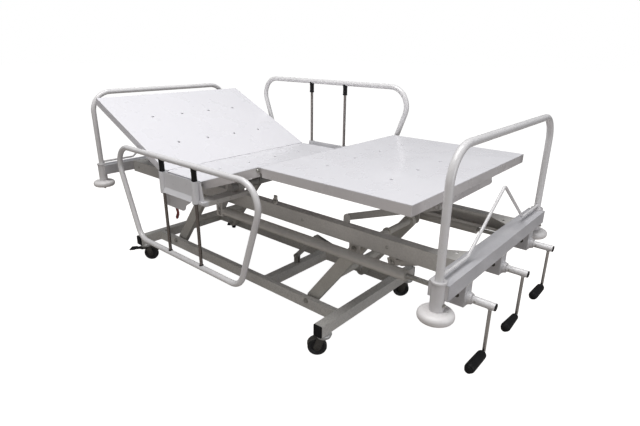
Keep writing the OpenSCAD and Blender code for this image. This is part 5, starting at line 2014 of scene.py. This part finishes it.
@dataclass(frozen=True)
class CasterDress:
    """Wheel, hooded fork, swivel race and bolts of one caster.

    Everything is drawn round the swivel axis, with the axle on its trail.
    """

    key: str
    x: float
    y: float
    turn: float
    braked: bool
    wheel_r: float = 0.0398
    half: float = 0.0109
    trail: float = 0.026
    axle_z: float = 0.040
    axle: Pair = (0.0058, 0.0125)
    axle_nut: Nut = (0.0125, 0.0042, 0.003, 0.0014)
    nut_y: float = 0.0157
    cheek_y: Pair = (0.0121, 0.0158)
    cheek: tuple[Point, ...] = ((0.026, 0.040, 0.0148), (0.016, 0.074, 0.0142), (0.008, 0.0760, 0.0100))
    ear: tuple[Point, ...] = ((-0.022, 0.072, 0.0078), (0.006, 0.0760, 0.0076))
    pivot: Pair = (-0.022, 0.072)
    pivot_pin: Pair = (0.0039, 0.0124)
    pivot_head: Head = (0.0052, 0.0016, 0.0004)
    hood: Profile = (
        (0.0414, -0.0155), (0.0430, -0.0150), (0.0436, -0.0100), (0.0436, 0.0100), (0.0430, 0.0150), (0.0414, 0.0155),
        (0.0414, 0.0100), (0.0414, -0.0100),
    )
    hood_start: float = 0.35
    hood_ends: Pair = (2.05, 2.45)
    hood_steps: int = 14
    race: Profile = (
        (0.0092, 0.0838), (0.0262, 0.0838), (0.0288, 0.0852), (0.0298, 0.0876), (0.0298, 0.0896), (0.0285, 0.0906),
        (0.0292, 0.0916), (0.0296, 0.0930), (0.0288, 0.0935), (0.0092, 0.0935), (0.0092, 0.0838),
    )
    top_plate: Profile = (
        (0.0, 0.0943), (0.0310, 0.0943), (0.0330, 0.0952), (0.0335, 0.0968), (0.0330, 0.0990), (0.0308, 0.1012),
        (0.0, 0.1012),
    )
    pedal_root: tuple[Point, ...] = ((-0.022, 0.072, 0.0078), (-0.040, 0.0700, 0.0048))
    pedal_bar: tuple[Point, ...] = ((-0.034, 0.0702, 0.0042), (-0.088, 0.0640, 0.0042))
    pedal_tilt: float = math.radians(-6.5)
    pad_size: Point = (0.034, 0.0438, 0.0078)
    pad_at: Point = (-0.0755, 0.0, 0.0662)
    rib_size: Point = (0.0022, 0.036, 0.0018)
    rib_start: Pair = (-0.0640, 0.0714)
    rib_step: Pair = (0.0072, 0.0008)
    ribs: int = 4

    def build(self) -> None:
        """Make the caster's pieces."""
        swivel = f"swivel_{self.key}"
        self._put([self._wheel()], "crowned_wheel", Slot.WHEEL, f"wheel_{self.key}", [f"caster_wheel_{self.key}"])
        self._put(self._fork(), "hooded_fork", Slot.FORK, swivel, [f"caster_fork_{self.key}"])
        axle = [self._pin(*self.axle, 24, (self.trail, self.axle_z))]
        for sign in SIGNS:
            at = (self.trail, sign * self.nut_y, self.axle_z)
            axle.append(placed(bolt_end(*self.axle_nut), at, Axis.outward(sign)))
        self._put(axle, "axle_bolt", Slot.FORK, swivel)
        self._put([lathe(self.race, 48)], "swivel_race", Slot.PLATE, swivel)
        self._put([lathe(self.top_plate, 48)], "pressed_top_plate", Slot.PLATE, "base")
        if self.braked:
            side = {"nh": "near", "fh": "far"}[self.key]
            self._put(self._pedal(), "pressed_pedal", Slot.BLACK, f"pedal_{side}", [f"brake_pedal_{side}"])

    def _put(self, parts: list[Mesh], name: str, slot: Slot, body: str, nodes: Sequence[str] = ()) -> None:
        """Put local meshes in place and finish them as one piece.

        Args:
            parts: The meshes, drawn round the swivel axis.
            name: Name of the piece.
            slot: Its material slot.
            body: Its body.
            nodes: CAD nodes it replaces.
        """
        whole = placed(merged(parts), (self.x, self.y, 0.0), Matrix.Rotation(math.radians(self.turn), 4, "Z"))
        finish_piece(f"{name}_{self.key}", whole, slot, body, nodes, 38.0)

    @staticmethod
    def _pin(radius: float, half: float, steps: int, at: Pair) -> Mesh:
        """A plain pin across the caster.

        Args:
            radius: Its radius.
            half: Half its length.
            steps: Faces round it.
            at: X and Z of its axis.

        Returns:
            The mesh.
        """
        rows = [(0.0, -half), (radius, -half), (radius, half), (0.0, half)]
        return placed(lathe(rows, steps), (at[0], 0.0, at[1]), Axis.Y)

    def _wheel(self) -> Mesh:
        """Make the wheel with a crowned tread and dished sides.

        Returns:
            Its mesh.
        """
        w, r = self.half, self.wheel_r
        side = [
            (0.0062, w - 0.001), (0.012, w - 0.001), (0.0135, w - 0.003), (0.0165, w - 0.0052), (0.0240, w - 0.0052),
            (0.0270, w - 0.002), (0.0285, w - 0.0006), (0.033, w), (0.0365, w - 0.0008), (0.0386, w - 0.0026),
            (r - 0.0002, w - 0.0054), (r, w - 0.0085),
        ]
        rows = [(a, -b) for a, b in side] + side[::-1] + [(side[0][0], -side[0][1])]
        return placed(lathe(rows, 64), (self.trail, 0.0, self.axle_z), Axis.Y)

    def _fork(self) -> list[Mesh]:
        """Make the hooded fork, with the ears and pin of the pedal where there is a brake.

        Returns:
            Its meshes.
        """
        parts = []
        pivot_x, pivot_z = self.pivot
        for sign in SIGNS:
            y0, y1 = sorted(sign * y for y in self.cheek_y)
            parts.append(plate(hull_outline(self.cheek), y0, y1, 0.0012))
            if self.braked:
                parts.append(plate(hull_outline(self.ear), y0, y1, 0.0010))
                at = (pivot_x, sign * self.nut_y, pivot_z)
                parts.append(placed(dome_head(*self.pivot_head), at, Axis.outward(sign)))
        if self.braked:
            parts.append(self._pin(*self.pivot_pin, 20, self.pivot))
        parts.append(self._hood())
        return parts

    def _hood(self) -> Mesh:
        """Sweep the section of the hood round the axle.

        Returns:
            Its mesh.
        """
        end = self.hood_ends[0 if self.braked else 1]
        hood = bmesh.new()
        rings = []
        for i in range(self.hood_steps + 1):
            a = self.hood_start + (end - self.hood_start) * i / self.hood_steps
            spots = ((self.trail + r * math.cos(a), y, self.axle_z + r * math.sin(a)) for r, y in self.hood)
            rings.append([hood.verts.new(p) for p in spots])
        skin_rings(hood, rings)
        hood.faces.new(rings[0][::-1])
        hood.faces.new(rings[-1])
        bmesh.ops.recalc_face_normals(hood, faces=hood.faces)
        return hood

    def _pedal(self) -> list[Mesh]:
        """Make the pressed brake pedal.

        Returns:
            Its meshes.
        """
        turn = Matrix.Rotation(self.pedal_tilt, 4, "Y")
        parts = [
            plate(hull_outline(self.pedal_root), -0.0112, 0.0112, 0.0010),
            plate(hull_outline(self.pedal_bar), -0.0125, 0.0125, 0.0014),
            placed(block(self.pad_size, 0.0030), self.pad_at, turn),
        ]
        (x, z), (step_x, step_z) = self.rib_start, self.rib_step
        for k in range(self.ribs):
            parts.append(placed(block(self.rib_size, 0.0008, 2), (x - step_x * k, 0.0, z - step_z * k), turn))
        return parts


# Studio


@dataclass(frozen=True)
class Lamp:
    """One soft square lamp."""

    name: str
    at: Point
    aim: Point
    size: float
    power: float
    colour: Point = (1.0, 1.0, 1.0)

    def build(self) -> None:
        """Hang the lamp."""
        data = bpy.data.lights.new(self.name, "AREA")
        data.shape = "SQUARE"
        data.size = self.size
        data.energy = self.power
        data.color = self.colour
        lamp = bpy.data.objects.new(self.name, data)
        bpy.context.scene.collection.objects.link(lamp)
        lamp.location = self.at
        lamp.rotation_euler = (Vector(self.aim) - Vector(self.at)).to_track_quat("-Z", "Y").to_euler()


@dataclass(frozen=True)
class Studio:
    """Pale floor, soft lamps, white surroundings and the photograph's camera."""

    eye: Point = (1.4888, -1.5370, 1.1777)
    yaw: float = 0.709707156
    pitch: float = 0.343602978
    roll: float = 0.0108736886
    focal_px: float = 465.205264
    width_px: float = 640.0
    sensor: float = 36.0
    clip: Pair = (0.05, 200.0)
    floor_size: float = 30.0
    floor_colour: Point = (0.34, 0.315, 0.295)
    floor_rough: float = 0.9
    floor_specular: float = 0.1
    floor_glow: float = 0.97
    air_colour: Point = (0.95, 0.97, 1.0)
    air_light: float = 0.17
    lamps: tuple[Lamp, ...] = (
        Lamp("overhead_panel", (0.15, -0.8, 4.8), (0.1, 0.0, 0.5), 3.6, 212.0),
        Lamp("foot_end_panel", (4.3, -0.2, 1.3), (0.6, 0.0, 0.4), 2.2, 38.0, (0.96, 0.97, 1.0)),
        Lamp("near_side_panel", (1.0, -4.6, 0.9), (0.0, 0.0, 0.45), 2.2, 17.0, (1.0, 0.95, 0.89)),
    )

    def build(self) -> None:
        """Make the floor, world, lamps and camera."""
        self._floor()
        self._world()
        for lamp in self.lamps:
            lamp.build()
        self._camera()

    def _floor(self) -> None:
        """Make the plain floor."""
        bm = bmesh.new()
        bmesh.ops.create_grid(bm, x_segments=1, y_segments=1, size=self.floor_size)
        mesh = bpy.data.meshes.new("studio_floor")
        bm.to_mesh(mesh)
        bm.free()
        obj = bpy.data.objects.new("studio_floor", mesh)
        bpy.context.scene.collection.objects.link(obj)
        mat = bpy.data.materials.new("studio_floor_white")
        mat.use_nodes = True
        graph = Graph(mat.node_tree)
        shader = graph.tree.nodes["Principled BSDF"]
        shader.inputs["Base Color"].default_value = (*self.floor_colour, 1.0)
        shader.inputs["Roughness"].default_value = self.floor_rough
        shader.inputs["Specular IOR Level"].default_value = self.floor_specular
        shader.inputs["Emission Color"].default_value = (1.0, 1.0, 1.0, 1.0)
        seen = graph.add("ShaderNodeLightPath").outputs["Is Camera Ray"]
        graph.link(graph.maths("MULTIPLY", seen, self.floor_glow), shader.inputs["Emission Strength"])
        mesh.materials.append(mat)

    def _world(self) -> None:
        """White to the camera, softer as a light."""
        world = bpy.data.worlds.new("studio_air")
        bpy.context.scene.world = world
        world.use_nodes = True
        world.node_tree.nodes.clear()
        graph = Graph(world.node_tree)
        out = graph.add("ShaderNodeOutputWorld")
        path = graph.add("ShaderNodeLightPath")
        seen = graph.maths("MAXIMUM", path.outputs["Is Camera Ray"], path.outputs["Is Transmission Ray"])
        lit = graph.add("ShaderNodeBackground")
        lit.inputs["Color"].default_value = (*self.air_colour, 1.0)
        lit.inputs["Strength"].default_value = self.air_light
        white = graph.add("ShaderNodeBackground")
        white.inputs["Color"].default_value = (1.0, 1.0, 1.0, 1.0)
        white.inputs["Strength"].default_value = 1.0
        mix = graph.add("ShaderNodeMixShader")
        graph.link(seen, mix.inputs["Fac"])
        graph.link(lit.outputs["Background"], mix.inputs[1])
        graph.link(white.outputs["Background"], mix.inputs[2])
        graph.link(mix.outputs["Shader"], out.inputs["Surface"])

    def _camera(self) -> None:
        """Place the camera as the photograph was taken."""
        cy, sy = math.cos(self.yaw), math.sin(self.yaw)
        cp, sp = math.cos(self.pitch), math.sin(self.pitch)
        ahead = Vector((-sy * cp, cy * cp, -sp))
        right = Vector((cy, sy, 0.0))
        up = right.cross(ahead)
        cr, sr = math.cos(self.roll), math.sin(self.roll)
        side = cr * right + sr * up
        top = -sr * right + cr * up
        data = bpy.data.cameras.new("photo_camera")
        data.sensor_width = self.sensor
        data.lens = self.focal_px * self.sensor / self.width_px
        data.clip_start, data.clip_end = self.clip
        cam = bpy.data.objects.new("photo_camera", data)
        bpy.context.scene.collection.objects.link(cam)
        turn = Matrix((side, top, -ahead)).transposed()
        cam.matrix_world = Matrix.Translation(self.eye) @ turn.to_4x4()
        bpy.context.scene.camera = cam


# Assembly


def deck_pieces() -> list[VentRow | HingeEnds | BackLip | PanelSeam]:
    """Pieces that dress the deck.

    Returns:
        The pieces, ready to build.
    """
    s = SIZES
    return [
        VentRow("back", "back_section", s.back_x, s.hinge_z, s.back_tilt, (-0.1965, -0.43885)),
        VentRow("seat", "upper_frame", s.back_x, s.hinge_z, 0.0, (0.1441,)),
        VentRow("thigh", "thigh_section", s.thigh_x, s.hinge_z, -s.thigh_tilt, (0.1895,)),
        VentRow("leg", "leg_section", s.knee_x, s.knee_z, 0.0, (0.16354, 0.4403)),
        HingeEnds("back", s.back_x, s.hinge_z, "upper_frame"),
        HingeEnds("thigh", s.thigh_x, s.hinge_z, "upper_frame"),
        HingeEnds("knee", s.knee_x, s.knee_z, "thigh_section"),
        BackLip(),
        PanelSeam("back", s.back_x, s.hinge_z, s.back_tilt, -0.655),
        PanelSeam("leg", s.knee_x, s.knee_z, 0.0, 0.629),
    ]


def corner_pieces() -> list[Bumper | CasterDress]:
    """Bumper discs and casters.

    Returns:
        The pieces, ready to build.
    """
    s = SIZES
    return [
        Bumper("nh", s.head_x, -s.post_y),
        Bumper("fh", s.head_x, s.post_y),
        Bumper("nf", s.foot_x, -s.post_y),
        Bumper("ff", s.foot_x, s.post_y),
        CasterDress("nh", s.head_tube_x, -s.caster_y, 41.0, True),
        CasterDress("fh", s.head_tube_x, s.caster_y, 130.0, True),
        CasterDress("nf", s.foot_tube_x, -s.caster_y, 221.0, False),
        CasterDress("ff", s.foot_tube_x, s.caster_y, 221.0, False),
    ]


def rail_pieces() -> list[EndBow | SideLoop | RailPlates | LatchHandle]:
    """End bows and side rails with their fittings.

    Returns:
        The pieces, ready to build.
    """
    pieces: list[EndBow | SideLoop | RailPlates | LatchHandle] = [
        EndBow("head", SIZES.head_x),
        EndBow("foot", SIZES.foot_x),
        SideLoop("near", -1.0, 0.0),
        SideLoop("far", 1.0, SIZES.travel),
    ]
    for side, sign in SIDES:
        pieces += [RailPlates(side, sign), LatchHandle(side, sign)]
    return pieces


def crank_pieces() -> list[CrankSet]:
    """The three cranks.

    Returns:
        The pieces, ready to build.
    """
    return [
        CrankSet("back", -SIZES.crank_y, True),
        CrankSet("lift", 0.0, False, fat_end=True),
        CrankSet("knee", SIZES.crank_y, True),
    ]


def main() -> None:
    """Dress the bed and set the studio."""
    logging.basicConfig(level=logging.INFO, format="%(name)s: %(message)s")
    bpy.context.scene.view_settings.view_transform = "Standard"
    shelf = FinishShelf()
    MATERIALS.update(shelf.make())
    Studio().build()
    CadFinishes(shelf.for_nodes()).dress()
    pieces = [*deck_pieces(), *corner_pieces(), *rail_pieces(), SocketDress(), FrameDress(), BaseDress()]
    for piece in [*pieces, *crank_pieces()]:
        piece.build()
    bpy.context.view_layer.update()


if __name__ == "__main__":
    main()
